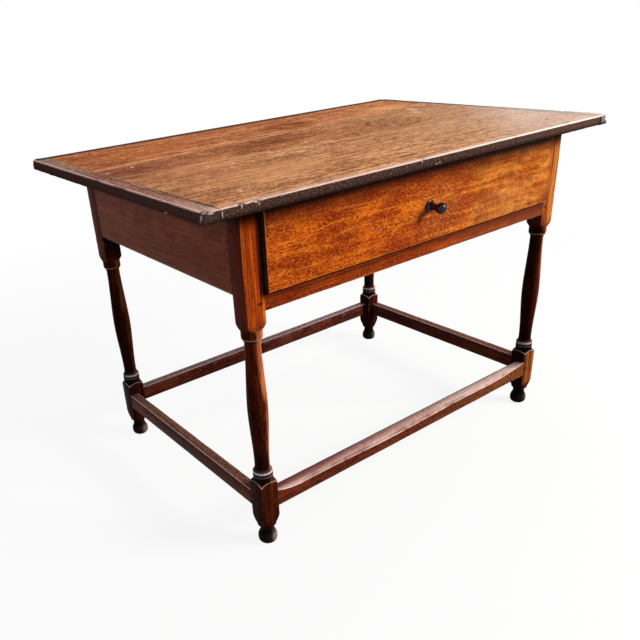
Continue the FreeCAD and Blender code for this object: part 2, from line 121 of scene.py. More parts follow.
def pushed(piece, wanted, push):
    """Moves the chosen points."""
    choose(piece, "VERT", wanted)
    bpy.ops.transform.translate(value=[step * mm for step in push])
    bpy.ops.object.mode_set(mode="OBJECT")


def settled(name):
    """The piece just added, named, with its size and place moved into its mesh."""
    piece = bpy.context.object
    bpy.ops.object.transform_apply(location=True, rotation=True, scale=True)
    piece.name = name
    return piece


def timber(name, low, high):
    """Squared length of wood between two corners."""
    bpy.ops.object.select_all(action="DESELECT")
    bpy.ops.mesh.primitive_cube_add(size=1, location=(low * mm + high * mm) / 2,
                                    scale=high * mm - low * mm)
    return settled(name)


def rounded(piece, wanted, size, steps=2):
    """Rounds the chosen arrises."""
    choose(piece, "EDGE", wanted)
    bpy.ops.mesh.bevel(offset=size * mm, segments=steps, affect="EDGES")
    bpy.ops.object.mode_set(mode="OBJECT")


def runs_along(axis):
    """Test for the edges that run along an axis."""
    across = [other for other in range(3) if other != axis]
    return lambda a, b: all(abs(a[other] - b[other]) < 0.1 for other in across)


def crosscut(piece, axis, pieces):
    """Divides every edge along an axis, so that the wood can be worn between its ends."""
    across = [other for other in range(3) if other != axis]
    choose(piece, "EDGE", lambda a, b: abs(a[axis] - b[axis]) > 4
           and all(abs(a[other] - b[other]) < abs(a[axis] - b[axis]) / 4 for other in across))
    bpy.ops.mesh.subdivide(number_cuts=pieces - 1)
    bpy.ops.object.mode_set(mode="OBJECT")


def turned(name, profile):
    """Lathe work: a ring of points carried up a profile of (radius, height) stations."""
    radius, height = profile[0]
    bpy.ops.object.select_all(action="DESELECT")
    bpy.ops.mesh.primitive_circle_add(vertices=64, radius=radius * mm, location=(0, 0, height * mm),
                                      fill_type="NGON")
    piece = settled(name)
    bpy.ops.object.mode_set(mode="EDIT")
    bpy.ops.mesh.select_all(action="SELECT")
    for next_radius, next_height in profile[1:]:
        bpy.ops.mesh.extrude_region_move(
            TRANSFORM_OT_translate={"value": (0, 0, (next_height - height) * mm)})
        growth = next_radius / radius
        bpy.ops.transform.resize(value=(growth, growth, 1))
        radius, height = next_radius, next_height
    bpy.ops.mesh.select_all(action="SELECT")
    bpy.ops.mesh.normals_make_consistent(inside=False)
    bpy.ops.object.mode_set(mode="OBJECT")
    return piece


def quarter(start, end, upright_first, steps=6):
    """Stations of a quarter round or hollow, after its start."""
    stations = []
    for step in range(1, steps + 1):
        turn = math.pi / 2 * step / steps
        out, up = (1 - math.cos(turn), math.sin(turn))
        if not upright_first:
            out, up = up, out
        stations.append((start[0] + (end[0] - start[0]) * out, start[1] + (end[1] - start[1]) * up))
    return stations


def swell(start, end, steps=12):
    """Stations of a long curve that starts and ends upright, after its start."""
    shares = [step / steps for step in range(1, steps + 1)]
    return [(start[0] + (end[0] - start[0]) * t * t * (3 - 2 * t),
             start[1] + (end[1] - start[1]) * t) for t in shares]


def shoulder(start, end, steps=6):
    """Stations of a turned shoulder from a collar out to the corners of the timber."""
    shares = [step / steps for step in range(1, steps + 1)]
    return [(turned_radius + (corner_radius - turned_radius) * t * (1 + 0.48 * (1 - t)),
             start + (end - start) * t) for t in shares]


def joined(piece, other, operation):
    """Unites a piece with another, cuts it away or keeps what they share; the other is used up."""
    pick(piece)
    bpy.ops.object.modifier_add(type="BOOLEAN")
    cut = piece.modifiers[-1]
    cut.operation = operation
    cut.solver = "EXACT"
    cut.object = other
    bpy.ops.object.modifier_apply(modifier=cut.name)
    bpy.data.objects.remove(other)
    return piece


def worn(piece, wanted, depth, size, level=0.5):
    """Uneven wear of the chosen points; the nearer the level is to 1, the less stands out."""
    points = [point.index for point in piece.data.vertices if wanted(in_mm(point.co))]
    group = piece.vertex_groups.new(name="worn")
    group.add(points, 1.0, "REPLACE")
    grain = bpy.data.textures.new("wear", "CLOUDS")
    grain.noise_scale = size * mm
    pick(piece)
    bpy.ops.object.modifier_add(type="DISPLACE")
    wear = piece.modifiers[-1]
    wear.texture = grain
    wear.strength = depth * mm
    wear.mid_level = level
    wear.vertex_group = group.name
    bpy.ops.object.modifier_apply(modifier=wear.name)
    piece.vertex_groups.clear()


def smoothed(piece, angle=35):
    """Soft shading across rounds, hard across arrises."""
    pick(piece)
    bpy.ops.object.shade_smooth_by_angle(angle=math.radians(angle))


def everywhere(co):
    return True


def placed_copy(piece, name, shift=(0, 0, 0), quarter_turns=0):
    """A copy with a mesh of its own, turned and put in its place."""
    pick(piece)
    bpy.ops.object.duplicate()
    twin = bpy.context.object
    twin.data.transform(Matrix.Translation(Vector(shift) * mm)
                        @ Matrix.Rotation(math.pi / 2 * quarter_turns, 4, "Z"))
    twin.name = name
    return twin


def fit_out(piece, node, body, finish):
    """The piece stands for its CAD node, rides on the same body and takes its finish."""
    piece.data.materials.clear()
    piece.data.materials.append(finish)
    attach(piece, body)
    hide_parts(node)


def maker(operation, reflected=False):
    """Method that adds the Math node of an operation, its two values swapped if reflected."""
    if reflected:
        return lambda self, other: self.maths(operation, other, self)
    return lambda self, other=0.0: self.maths(operation, self, other)


class Shade:
    """A socket of a material, so that shader maths reads as an expression."""

    def __init__(self, tree, socket=None):
        self.tree = tree
        self.socket = socket

    def node(self, kind, settings, inputs, output=0):
        """Adds any node: its settings first, then the values and links of its sockets."""
        made = self.tree.nodes.new(kind)
        for name, value in settings.items():
            setattr(made, name, value)
        for name, value in inputs.items():
            if isinstance(value, Shade):
                self.tree.links.new(value.socket, made.inputs[name])
            else:
                made.inputs[name].default_value = value
        return Shade(self.tree, made.outputs[output])

    def beside(self, output):
        """Another output of the same node."""
        return Shade(self.tree, self.socket.node.outputs[output])

    def maths(self, operation, first, second=0.0):
        return self.node("ShaderNodeMath", {"operation": operation}, {0: first, 1: second})

    __add__ = maker("ADD")
    __radd__ = maker("ADD", True)
    __sub__ = maker("SUBTRACT")
    __rsub__ = maker("SUBTRACT", True)
    __mul__ = maker("MULTIPLY")
    __rmul__ = maker("MULTIPLY", True)
    __truediv__ = maker("DIVIDE")
    __pow__ = maker("POWER")
    __abs__ = maker("ABSOLUTE")
    larger = maker("MAXIMUM")
    smaller = maker("MINIMUM")
    fraction = maker("FRACT")

    def above(self, low, high):
        """0 below the lower value, 1 above the higher one, smooth between."""
        return self.node("ShaderNodeMapRange", {"interpolation_type": "SMOOTHSTEP"},
                         {"Value": self, "From Min": low, "From Max": high})

    def below(self, low, high):
        return 1 - self.above(low, high)

    def between(self, first, second):
        """The colour that lies this share of the way from one to another."""
        return self.node("ShaderNodeMix", {"data_type": "RGBA"},
                         {0: self, 6: tone(first), 7: tone(second)}, 2)

    def mixed(self, colour, share):
        """This colour with a share of another laid over it."""
        return self.node("ShaderNodeMix", {"data_type": "RGBA"},
                         {0: share, 6: self, 7: tone(colour)}, 2)

    def noise(self, spans, detail=2.0, seed=0.0):
        """Noise about this place, its size along X, Y and Z given in mm."""
        scaled = self.node("ShaderNodeMapping", {},
                           {"Vector": self, "Scale": [1 / span for span in spans]})
        return self.node("ShaderNodeTexNoise", {"noise_dimensions": "4D"},
                         {"Vector": scaled, "W": seed, "Scale": 1.0, "Detail": detail})

    def spot(self, centre, radii, soft):
        """1 in the middle of a soft-edged spot, 0 outside it."""
        moved = self.node("ShaderNodeVectorMath", {"operation": "SUBTRACT"}, {0: self, 1: centre})
        shrunk = self.node("ShaderNodeVectorMath", {"operation": "DIVIDE"}, {0: moved, 1: radii})
        size = self.node("ShaderNodeVectorMath", {"operation": "LENGTH"}, {0: shrunk}, "Value")
        return size.below(1 - soft, 1)


def tone(colour):
    """A colour written as it looks, red, green and blue from 0 to 255; a socket stays as it is."""
    if isinstance(colour, Shade):
        return colour
    parts = [value / 255 for value in colour]
    linear = [part / 12.92 if part <= 0.04045 else ((part + 0.055) / 1.055) ** 2.4
              for part in parts]
    return (*linear, 1)


class Wood:
    """Wood cut along an axis, with what its colour, gloss and surface are painted from."""

    def __init__(self, name, axis, seed, ring=3.2, heart=(0, 0), wander=6, coarse=1.0):
        self.material = bpy.data.materials.new(name)
        self.material.use_nodes = True
        self.tree = self.material.node_tree
        self.shader = self.tree.nodes["Principled BSDF"]
        self.shader.inputs["Coat Roughness"].default_value = 0.25
        self.axis = axis
        self.seed = seed
        metres = Shade(self.tree).node("ShaderNodeTexCoord", {}, {}, "Object")
        self.place = metres.node("ShaderNodeVectorMath", {"operation": "SCALE"},
                                 {0: metres, "Scale": 1 / mm})
        parts = self.place.node("ShaderNodeSeparateXYZ", {}, {"Vector": self.place})
        self.xyz = [parts, parts.beside(1), parts.beside(2)]
        across = [self.xyz[other] for other in range(3) if other != axis]
        drift = self.streaks(400, 60, 2, 5) - 0.5
        waver = self.streaks(60, 9, 2, 9) - 0.5
        out = (across[0] - heart[0] + drift * wander * 6) ** 2 + (across[1] - heart[1]) ** 2
        years = (out ** 0.5 + waver * wander) / ring
        self.rings = years.fraction()
        self.fibres = self.streaks(80, 1.6 * coarse, 3, 1)
        self.bands = self.streaks(130, 5 * coarse, 4, 7)
        self.pores = self.streaks(14, 0.9, 1, 2).above(0.60, 0.68)
        self.mottle = self.streaks(34, 12 * coarse, 4, 3)
        self.clouds = self.streaks(240, 80, 2, 4)
        self.grit = self.streaks(5, 2.2 * coarse ** 0.5, 2, 6)

    def streaks(self, along, across, detail, step):
        """Noise drawn out along the grain."""
        spans = [across, across, across]
        spans[self.axis] = along
        return self.place.noise(spans, detail, self.seed + step * 7.3)

    def paint(self, pale, middle, dark, deep, ring_share=0.5, band_share=0.5, fibre_share=0.5,
              mottle_share=0.6, pore_share=0.6, grit_share=0.3):
        """Body colour of the stained wood, from its palest tone to its deepest."""
        self.colour = self.clouds.above(0.40, 0.60).between(middle, pale)
        self.stain(dark, self.mottle.above(0.48, 0.60) * mottle_share)
        self.stain(dark, self.rings ** 3 * ring_share)
        self.stain(dark, self.bands.above(0.50, 0.58) * band_share)
        self.stain(pale, self.bands.below(0.40, 0.48) * band_share)
        self.stain(deep, self.fibres.above(0.52, 0.62) * fibre_share)
        self.stain(pale, self.fibres.below(0.36, 0.46) * fibre_share)
        self.stain(deep, self.pores * pore_share)
        self.stain(deep, self.grit.above(0.52, 0.60) * grit_share)
        self.stain(pale, self.grit.below(0.38, 0.46) * grit_share)

    def stain(self, colour, share):
        """Lays a share of a colour over what is there."""
        self.colour = self.colour.mixed(colour, share)

    def mark(self, centre, reach, colour, share, soft=0.8):
        """Stains a soft-edged spot."""
        self.stain(colour, self.place.spot(centre, reach, soft) * share)

    def arris(self, first, second, width, broken=0.45):
        """Broken line of wear along the arris where two planes (axis, place) meet."""
        off_first = abs(self.xyz[first[0]] - first[1])
        off_second = abs(self.xyz[second[0]] - second[1])
        patchy = self.streaks(30, 30, 3, 8).above(broken - 0.12, broken + 0.08)
        return off_first.larger(off_second).below(width * 0.4, width) * patchy

    def feed(self, **sockets):
        """Links sockets of the shader, each named with _ for a space."""
        for name, shade in sockets.items():
            self.tree.links.new(shade.socket, self.shader.inputs[name.replace("_", " ")])
        return self.material

    def finish(self, rough, specular=0.06, sheen=None, grain_depth=0.25):
        """Joins colour, gloss, the sheen of old wax and surface to the shader."""
        gloss = rough + (self.mottle - 0.5) * 0.25 + self.pores * 0.12
        self.shader.inputs["Specular IOR Level"].default_value = specular
        if sheen:
            self.feed(Coat_Weight=sheen)
        height = self.fibres * 0.5 + self.mottle * 0.6 - self.pores
        bump = height.node("ShaderNodeBump", {}, {"Strength": 0.5, "Distance": grain_depth * mm,
                                                  "Height": height}, "Normal")
        return self.feed(Base_Color=self.colour, Roughness=gloss, Normal=bump)


def turned_finish(name, axis_x, axis_y, seed, lit_side_share, shaded_share, ring_share, front=None):
    """Old red-brown stain, black in the hollows, rubbed through on the rings and arrises. A painted
    highlight runs down the side towards the window lamp, and painted shade down the other side."""
    wood = Wood(name, 2, seed, heart=(axis_x + 30, axis_y + 18), ring=2.6)
    wood.paint((112, 42, 17), (66, 22, 10), (34, 10, 6), (12, 4, 3), grit_share=0.5)
    x, y, z = wood.xyz
    off_x = abs(x - axis_x)
    off_y = abs(y - axis_y)
    radius = (off_x ** 2 + off_y ** 2) ** 0.5
    hollow = radius.below(ankle_radius, turned_radius - 1)
    low_part = z.below(belly_height - 60, belly_height + 160)
    wood.stain((28, 8, 5), low_part * 0.5)
    wood.stain((16, 7, 6), hollow * z.below(baluster_low, baluster_low + 40) * 0.8)
    windowward = ((x - axis_x) * 0.83 - (y - axis_y) * 0.56) / turned_radius
    round_parts = z.above(block_high, block_high + 4) * z.below(post_low, post_low + 6)
    # Painted shade down the side that faces away from the window lamp.
    wood.stain((12, 3, 1), windowward.below(-0.4, 0.6) * z.below(post_low, post_shoulder)
               * shaded_share)
    # Painted highlight down the side that faces the window lamp, broken up along the grain.
    higher = z.above(belly_height + 10, belly_height + 70)
    chatter = wood.streaks(60, 4, 3, 9).above(0.40, 0.56)
    lit_side = (windowward + higher * 0.2 + chatter * 0.25 - 0.1).above(0.55, 1.0) * round_parts
    wood.stain((232, 134, 84), lit_side * (higher * 0.3 + 0.7) * lit_side_share)
    footlit = windowward.above(0.3, 0.8) * z.below(ankle_height, ankle_height + 4)
    # Painted highlight on the flare of the cove above the ring.
    cove_highlight = abs(z - (ring_high + 5)).below(1.5, 5) * radius.above(15.6, 17.2)
    wood.stain((142, 112, 110), cove_highlight * 0.35)
    collar = z.above(block_high, block_shoulder_high) * z.below(groove_low, groove_high)
    wood.stain((17, 7, 5), collar * 0.8)
    # Painted bluish reflection on the ring, broken up by the mottle.
    ring = abs(z - (groove_high + ring_high) / 2).below(2.2, 4.4) * radius.above(18, 19.4)
    wood.stain((214, 202, 218), ring * wood.mottle.above(0.28, 0.50) * ring_share)
    foot = z.below(24, 42)
    wood.stain((30, 26, 24), foot * 0.8)
    # Painted highlight on the foot's side towards the window lamp.
    wood.stain((170, 150, 136), footlit * foot * lit_side_share)
    wood.stain((9, 6, 5), abs(z - ankle_height + 4).below(3, 9) * 0.7)
    upright = z.above(post_low - 10, post_low + 30)
    wood.stain((98, 44, 32), upright * 0.65)
    before = y.below(axis_y - post_half + 1.8, axis_y - post_half + 3)
    block = z.above(block_low - 20, block_low) * z.below(block_high, block_high + 8)
    if front:
        pale, dark, low_share = front
        grain = wood.bands.above(0.42, 0.58).between(pale, dark)
        grain = grain.mixed((70, 24, 10), wood.fibres.above(0.52, 0.60) * 0.35)
        grain = grain.mixed((52, 18, 8), wood.grit.above(0.56, 0.64) * 0.5)
        wood.stain(grain, before * upright * 0.9)
        # Painted shadow that the proud drawer front casts on the post's face beside it.
        drawer_side = (x - axis_x) * math.copysign(1, -axis_x)
        drawer_shadow = drawer_side.above(7, 13) * z.above(530, 556)
        wood.stain((22, 6, 3), before * drawer_shadow * (0.92 if axis_x < 0 else 0.3))
        wood.stain(grain, before * block * low_share)
    else:
        wood.stain((15, 5, 4), before * upright * 0.85)
    # Painted shade on the upper post, under the top.
    shade_under_top = z.above(leg_height - 44, leg_height - 14)
    wood.stain((22, 8, 5), shade_under_top * 0.9)
    # Pale lines at the collar edges: rubbed wear with a painted highlight.
    for edge, share in ((groove_low - 2, 0.3), (upper_collar_low + 3, 0.6)):
        rub = abs(z - edge).below(0.5, 1.6) * radius.above(18.6, 19.6)
        wood.stain((196, 164, 158), rub * share)
    groove = abs(z - (groove_low + groove_high) / 2).below(0.8, 2.0)
    wood.stain((10, 5, 5), groove * radius.below(19.0, 19.9))
    rub = off_x.larger(off_y).above(post_half - 0.6, post_half)
    corner = off_x.smaller(off_y).above(post_half - 2.0, post_half - 0.8)
    patchy = wood.streaks(30, 30, 3, 8).above(0.38, 0.52)
    wood.stain((184, 126, 98), rub * corner * patchy * 0.7)
    # Pale line along the block's shoulder: rubbed wear with a painted highlight.
    down = (block_shoulder_high - z) / (block_shoulder_high - block_high)
    sweep = down * (corner_radius - turned_radius) * (1.48 - down * 0.48) + turned_radius
    brim = abs(radius - sweep).below(0.8, 2.0) * z.above(block_high - 1, block_high)
    brim = brim * off_x.larger(off_y).above(post_half - 1.8, post_half - 0.6)
    wood.stain((206, 178, 170), brim * (patchy * 0.4 + 0.6) * 0.8)
    return wood.finish(0.34, specular=0.006)


profile = [(sole_radius, 0)]
profile += quarter(profile[-1], (turned_radius, foot_widest), False)
profile += [(turned_radius, foot_top)]
profile += swell(profile[-1], (ankle_radius, ankle_height), 8)
profile += quarter(profile[-1], (turned_radius, collar_low), True)
profile += [(turned_radius, groove_low - 0.5), (turned_radius - 0.5, groove_low),
            (groove_radius, groove_low + 0.3), (groove_radius, groove_high)]
profile += quarter(profile[-1], (turned_radius, (groove_high + ring_high) / 2), False, 4)
profile += quarter(profile[-1], (groove_radius, ring_high), True, 4)
profile += quarter(profile[-1], (neck_radius, cove_high), False)
profile += [(neck_radius, baluster_low)]
profile += swell(profile[-1], (turned_radius, belly_height), 20)
profile += swell(profile[-1], (neck_radius, baluster_high), 20)
profile += [(neck_radius, fillet_low), (fillet_radius, fillet_low + 0.4),
            (fillet_radius, upper_collar_low)]
profile += quarter(profile[-1], (turned_radius, upper_collar_round), False)
profile += [(turned_radius, post_shoulder)]
leg = turned("turned_leg", profile)

leg_block = timber("block", Vector((-post_half, -post_half, block_shoulder_low)),
                   Vector((post_half, post_half, block_shoulder_high)))
leg_post = timber("post", Vector((-post_half, -post_half, post_low)),
                  Vector((post_half, post_half, leg_height)))
for part, pieces in ((leg_block, 12), (leg_post, 24)):
    rounded(part, runs_along(2), 0.9)
    crosscut(part, 2, pieces)
    worn(part, everywhere, depth=1.3, size=14, level=0.85)
low_sweep = [(turned_radius, block_shoulder_low)] + shoulder(block_shoulder_low, block_low)
high_sweep = [(turned_radius, block_shoulder_high)] + shoulder(block_shoulder_high, block_high)
post_sweep = [(turned_radius, post_low)] + shoulder(post_low, post_shoulder)
run_out = corner_radius + 4
post_sweep += [(run_out, post_shoulder + 8), (run_out, leg_height + 1)]
leg_block = joined(leg_block, turned("envelope", low_sweep + high_sweep[::-1]), "INTERSECT")
leg_post = joined(leg_post, turned("envelope", post_sweep), "INTERSECT")
leg = joined(leg, leg_block, "UNION")
leg = joined(leg, leg_post, "UNION")
worn(leg, lambda co: co.z > 5, depth=0.5, size=45)
smoothed(leg)

# Per leg: shares of the painted highlight on the lamp side, the painted shade on the far side and
# the painted ring highlight, then a front post's pale and dark tones and their share on the block.
leg_tones = {"leg_front_left": (0.62, 0.15, 0.8, ((226, 108, 26), (158, 60, 14), 0.03)),
             "leg_front_right": (0.25, 0.75, 0.6, ((206, 122, 54), (132, 62, 25), 0.55)),
             "leg_back_left": (0.4, 0.7, 0.65),
             "leg_back_right": (0.4, 0.6, 0.5)}
for number, name in enumerate(leg_names):
    low, high = box(name)
    axis_x = (low.x + high.x) / 2
    axis_y = (low.y + high.y) / 2
    twin = placed_copy(leg, "turned_" + name, (axis_x, axis_y, 0), number)
    fit_out(twin, name, "table",
            turned_finish("stained_" + name, axis_x, axis_y, 11.0 * number, *leg_tones[name]))
bpy.data.objects.remove(leg)

# ---- Aprons and drawer rail --------------------------------------------------------------------
# Three deep boards and a low rail are tenoned into the posts, their faces flush with them, and
# pegged. They took the same red-brown stain; the grain runs level and the lower arrises are rubbed.
inner_x = -leg_high.x
inner_y = -leg_high.y


def between_posts(name, node, axis):
    """The squared length of a rail that shows between its two posts."""
    low, high = box(node)
    low[axis] = -(inner_x, inner_y)[axis]
    high[axis] = (inner_x, inner_y)[axis]
    return timber(name, low, high), low, high


def apron_finish(name, axis, seed, low, high):
    """Level-grained stain, dark and dull on the end aprons, redder on the rail."""
    wood = Wood(name, axis, seed, ring=4.5, heart=(low[1 - axis] + 60, low.z - 40),
                wander=9)
    wood.paint((146, 78, 56), (124, 64, 46), (98, 48, 36), (62, 30, 26), ring_share=0.4,
               band_share=0.4, fibre_share=0.16, mottle_share=0.5, pore_share=0.3, grit_share=0.3)
    z = wood.xyz[2]
    # Painted shade under the top, darkest at the apron's upper edge.
    wood.stain((72, 42, 40), z.above(high.z - 90, high.z) * 0.6)
    wood.stain((160, 96, 66), wood.streaks(120, 5, 2, 12).above(0.6, 0.75) * 0.3)
    for face in (low[1 - axis], high[1 - axis]):
        wood.stain((188, 140, 116), wood.arris((1 - axis, face), (2, low.z), 2.6, 0.3) * 0.7)
    return wood.finish(0.45, specular=0.02)


def rail_finish(name, axis, seed, low, high):
    wood = Wood(name, axis, seed, ring=3.6, heart=(low.y + 90, low.z - 25))
    wood.paint((190, 82, 25), (150, 55, 17), (98, 33, 12), (50, 16, 8), grit_share=0.5)
    x, y, z = wood.xyz
    wood.stain((114, 64, 40), x.above(-60, 200) * 0.5)
    # Painted shadow of the proud drawer front, darkest just under it.
    wood.stain((70, 18, 6), z.above(high.z - 26, high.z - 8) * 0.6)
    wood.stain((22, 8, 6), z.above(high.z - 6, high.z - 3) * 0.9)
    wood.stain((206, 128, 82), wood.arris((1, low.y), (2, low.z), 2.2, 0.35) * 0.7)
    return wood.finish(0.40, specular=0.02)


for seed, (node, axis, finish_of) in enumerate((("apron_left", 1, apron_finish),
                                                ("apron_right", 1, apron_finish),
                                                ("apron_back", 0, apron_finish),
                                                ("drawer_rail", 0, rail_finish))):
    rail, low, high = between_posts(node + "_board", node, axis)
    rounded(rail, runs_along(axis), 1.3)
    crosscut(rail, axis, 48)
    crosscut(rail, 2, 6)
    worn(rail, everywhere, depth=0.7, size=70, level=0.7)
    worn(rail, lambda co: co.z < low.z + 2, depth=1.2, size=12, level=0.8)
    smoothed(rail)
    fit_out(rail, node, "table",
            finish_of("stained_" + node, axis, 60.0 + 9 * seed, low, high))

# ---- Stretchers --------------------------------------------------------------------------------
# Four bars tie the blocks of the legs together just above the floor. Two centuries of shoes have
# worn the upper face of the front one to a slant, its front given a painted highlight, and
# rubbed the tops of the others pale, with a painted sheen over them.
shelf_drop = 10.4
deepest_drop = 4.1
deepest_at = -80
deepest_reach = 220
unworn_left = 3
worn_in = 60
unworn_right = 8
worn_out = 130
stretcher_end = inner_x
worn_and_sheen_tops = {"stretcher_back": ((176, 152, 156), (92, 64, 66), 0.45),
               "stretcher_left": ((152, 108, 90), (84, 52, 42), 0.4),
               "others": ((146, 100, 84), (90, 54, 45), 0.3)}


def hollow_worn(x):
    """Depth of the wear at a place along the front stretcher: quick at its ends, and deepest
    left of the middle, where most shoes rested."""
    into_left = min(max((x + stretcher_end - unworn_left) / worn_in, 0), 1)
    into_right = min(max((stretcher_end - unworn_right - x) / worn_out, 0), 1)
    away = min(abs(x - deepest_at) / deepest_reach, 1)
    deeper = 1 - away * away * (3 - 2 * away)
    return (shelf_drop + deepest_drop * deeper) * (1 - (1 - min(into_left, into_right)) ** 2)


def stretcher_finish(name, axis, seed, low, high):
    """Dark sides, and a top rubbed down to greyish pink wood with a painted sheen, and pale
    arrises.
    """
    wood = Wood(name, axis, seed, ring=3.4, heart=(low[1 - axis] - 30, low.z - 35))
    wood.paint((124, 58, 40), (82, 34, 25), (46, 17, 13), (20, 8, 7), grit_share=0.55)
    across = wood.xyz[1 - axis]
    z = wood.xyz[2]
    inside = across.above(low[1 - axis] + 0.5, low[1 - axis] + 1.5)
    inside = inside * across.below(high[1 - axis] - 1.5, high[1 - axis] - 0.5)
    upper = inside * z.above(low.z + 12, low.z + 16)
    # Pale rubbed top with a painted sheen laid over it.
    rubbed = wood.streaks(160, 9, 3, 10).above(0.25, 0.6)
    pale, dark, share = worn_and_sheen_tops.get(name, worn_and_sheen_tops["others"])
    top_wear_and_sheen = wood.grit.above(0.42, 0.58).between(pale, dark)
    wood.stain(top_wear_and_sheen, upper * (rubbed * 0.4 + share))
    for face in (low[1 - axis], high[1 - axis]):
        wood.stain((224, 200, 200), wood.arris((1 - axis, face), (2, high.z), 2.6, 0.3) * 0.8)
        wood.stain((150, 96, 74), wood.arris((1 - axis, face), (2, low.z), 1.8, 0.5) * 0.5)
    return wood.finish(0.36, specular=0.012)


def front_stretcher_finish(name, axis, seed, low, high):
    """The slant that shoes have worn is bare, smooth and pale, with a painted highlight along its
    front; the face keeps its stain.
    """
    wood = Wood(name, axis, seed, ring=3.4, heart=(low.y - 30, low.z - 35))
    wood.paint((128, 56, 32), (86, 34, 20), (52, 18, 12), (24, 9, 7), grit_share=0.6)
    x, y, z = wood.xyz
    golden = wood.grit.above(0.44, 0.56).between((158, 92, 46), (78, 40, 22))
    wood.stain(golden, x.above(-60, 380) * 0.7)
    into_left = (x + stretcher_end - unworn_left) / worn_in
    into_right = (stretcher_end - unworn_right - x) / worn_out
    into = into_left.smaller(into_right).larger(0).smaller(1)
    deeper = abs(x - deepest_at).below(0, deepest_reach)
    depth = (1 - (1 - into) ** 2) * (deeper * deepest_drop + shelf_drop)
    across = (y - low.y) / (high.y - low.y)
    raised = z - high.z + depth
    slant = (raised - across * depth).above(-1.4, -0.4) * raised.above(-1.2, -0.4)
    rightwards = x.above(-300, 350)
    bare = rightwards.between((222, 168, 160), (228, 206, 198))
    tan = wood.clouds.above(0.42, 0.58) * x.above(-100, 60) * x.below(220, 330)
    bare = bare.mixed((208, 156, 120), tan * 0.6)
    streak = wood.streaks(120, 3.4, 3, 11).above(0.50, 0.60)
    bare = bare.mixed((150, 94, 84), streak * 0.45)
    bare = bare.mixed((134, 86, 76), wood.grit.above(0.52, 0.60) * 0.35)
    bare = bare.mixed((240, 222, 216), wood.grit.below(0.38, 0.46) * 0.4)
    behind = (across - rightwards * 0.15).above(0.15, 0.85)
    bare = bare.mixed(rightwards.between((72, 30, 27), (112, 98, 98)), behind * 0.8)
    stained = x.below(-290, -190) * across.above(0.15, 0.5)
    bare = bare.mixed((100, 38, 32), stained * 0.4)
    # Painted highlight along the front of the worn slant.
    bare = bare.mixed((250, 214, 206), across.below(0.06, 0.55) * 0.75)
    bare = bare.mixed((96, 52, 42), x.below(-400, -340) * (across * 0.6 + 0.2))
    bare = bare.mixed((92, 70, 70), x.above(350, 400) * 0.7)
    wood.stain(bare, slant * 0.92)
    wood.stain((44, 26, 22), y.above(high.y - 3.2, high.y - 1.6) * 0.75)
    front_arris = (y - low.y).below(1.6, 4) * raised.above(-1.0, -0.2)
    broken = wood.streaks(40, 40, 3, 8).above(0.30, 0.44)
    wood.stain((244, 218, 208), front_arris * broken * 0.8)
    return wood.finish(0.36, specular=0.015)


for seed, (node, axis) in enumerate((("stretcher_front", 0), ("stretcher_back", 0),
                                     ("stretcher_left", 1), ("stretcher_right", 1))):
    bar, low, high = between_posts(node + "_bar", node, axis)
    rounded(bar, runs_along(axis), 1.4)
    crosscut(bar, axis, 60)
    if node == "stretcher_front":
        finish = front_stretcher_finish("worn_" + node, axis, 100.0, low, high)
        for x in sorted({round(point.co.x / mm, 1) for point in bar.data.vertices}):
            pushed(bar, lambda co: abs(co.x - x) < 0.2 and co.z > high.z - 2
                   and co.y < low.y + 2, (0, 0, -hollow_worn(x)))
    else:
        finish = stretcher_finish(node, axis, 100.0 + 9 * seed, low, high)
    worn(bar, everywhere, depth=0.6, size=60, level=0.7)
    rub = 0.7 if node == "stretcher_front" else 1.5
    worn(bar, lambda co: co.z > low.z + 18, depth=rub, size=18, level=0.85)
    smoothed(bar)
    fit_out(bar, node, "table", finish)

# ---- Pegs --------------------------------------------------------------------------------------
# Riven hardwood pegs are driven through posts and tenons, and through the top into the posts.
# Their end grain drinks the stain and shows as small dark discs that stand a hair proud.


def dressed(node, finish):
    """Gives a node of the frame its finish."""
    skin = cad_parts[node]
    skin.data.materials.clear()
    skin.data.materials.append(finish)


def peg_finish(name, pale, middle, dark):
    wood = Wood(name, 2, 150.0, ring=1.1, heart=(0, 0))
    wood.paint(pale, middle, dark, (22, 10, 8), ring_share=0.3, grit_share=0.6)
    return wood.finish(0.55, specular=0.03)


frame_peg = peg_finish("frame_peg_wood", (92, 40, 24), (62, 26, 16), (34, 14, 10))
for node in ("apron_pegs", "rail_pegs", "stretcher_pegs"):
    dressed(node, frame_peg)
dressed("top_pegs", peg_finish("top_peg_wood", (150, 92, 58), (112, 62, 38), (70, 36, 24)))

# ---- Drawer guides, runners and nails ----------------------------------------------------------
# Sawn strips of pine, never finished, are nailed inside the end aprons: the upper one keeps the
# drawer straight and the lower one carries it. The nails are wrought iron with flat heads.


def bare_finish(name, axis, seed, stained_before=None):
    """Unfinished softwood, brown with age and dust; the drawer front's stain has run over its
    tails."""
    wood = Wood(name, axis, seed, ring=4.2, heart=(40, 25), wander=10)
    wood.paint((178, 138, 92), (156, 114, 72), (116, 80, 50), (72, 46, 30), ring_share=0.7,
               fibre_share=0.35, mottle_share=0.35, grit_share=0.2)
    saw = (wood.xyz[axis] / 3.1 + wood.mottle * 0.8).fraction().above(0.6, 0.95)
    wood.stain((120, 86, 56), saw * 0.18)
    dust = wood.streaks(150, 60, 3, 13).above(0.5, 0.8)
    wood.stain((92, 72, 58), dust * 0.35)
    if stained_before is not None:
        runs = wood.xyz[1] + (wood.mottle - 0.5) * 8
        wood.stain((34, 16, 11), runs.below(stained_before - 2, stained_before) * 0.9)
    return wood.finish(0.72, specular=0.06, grain_depth=0.4)


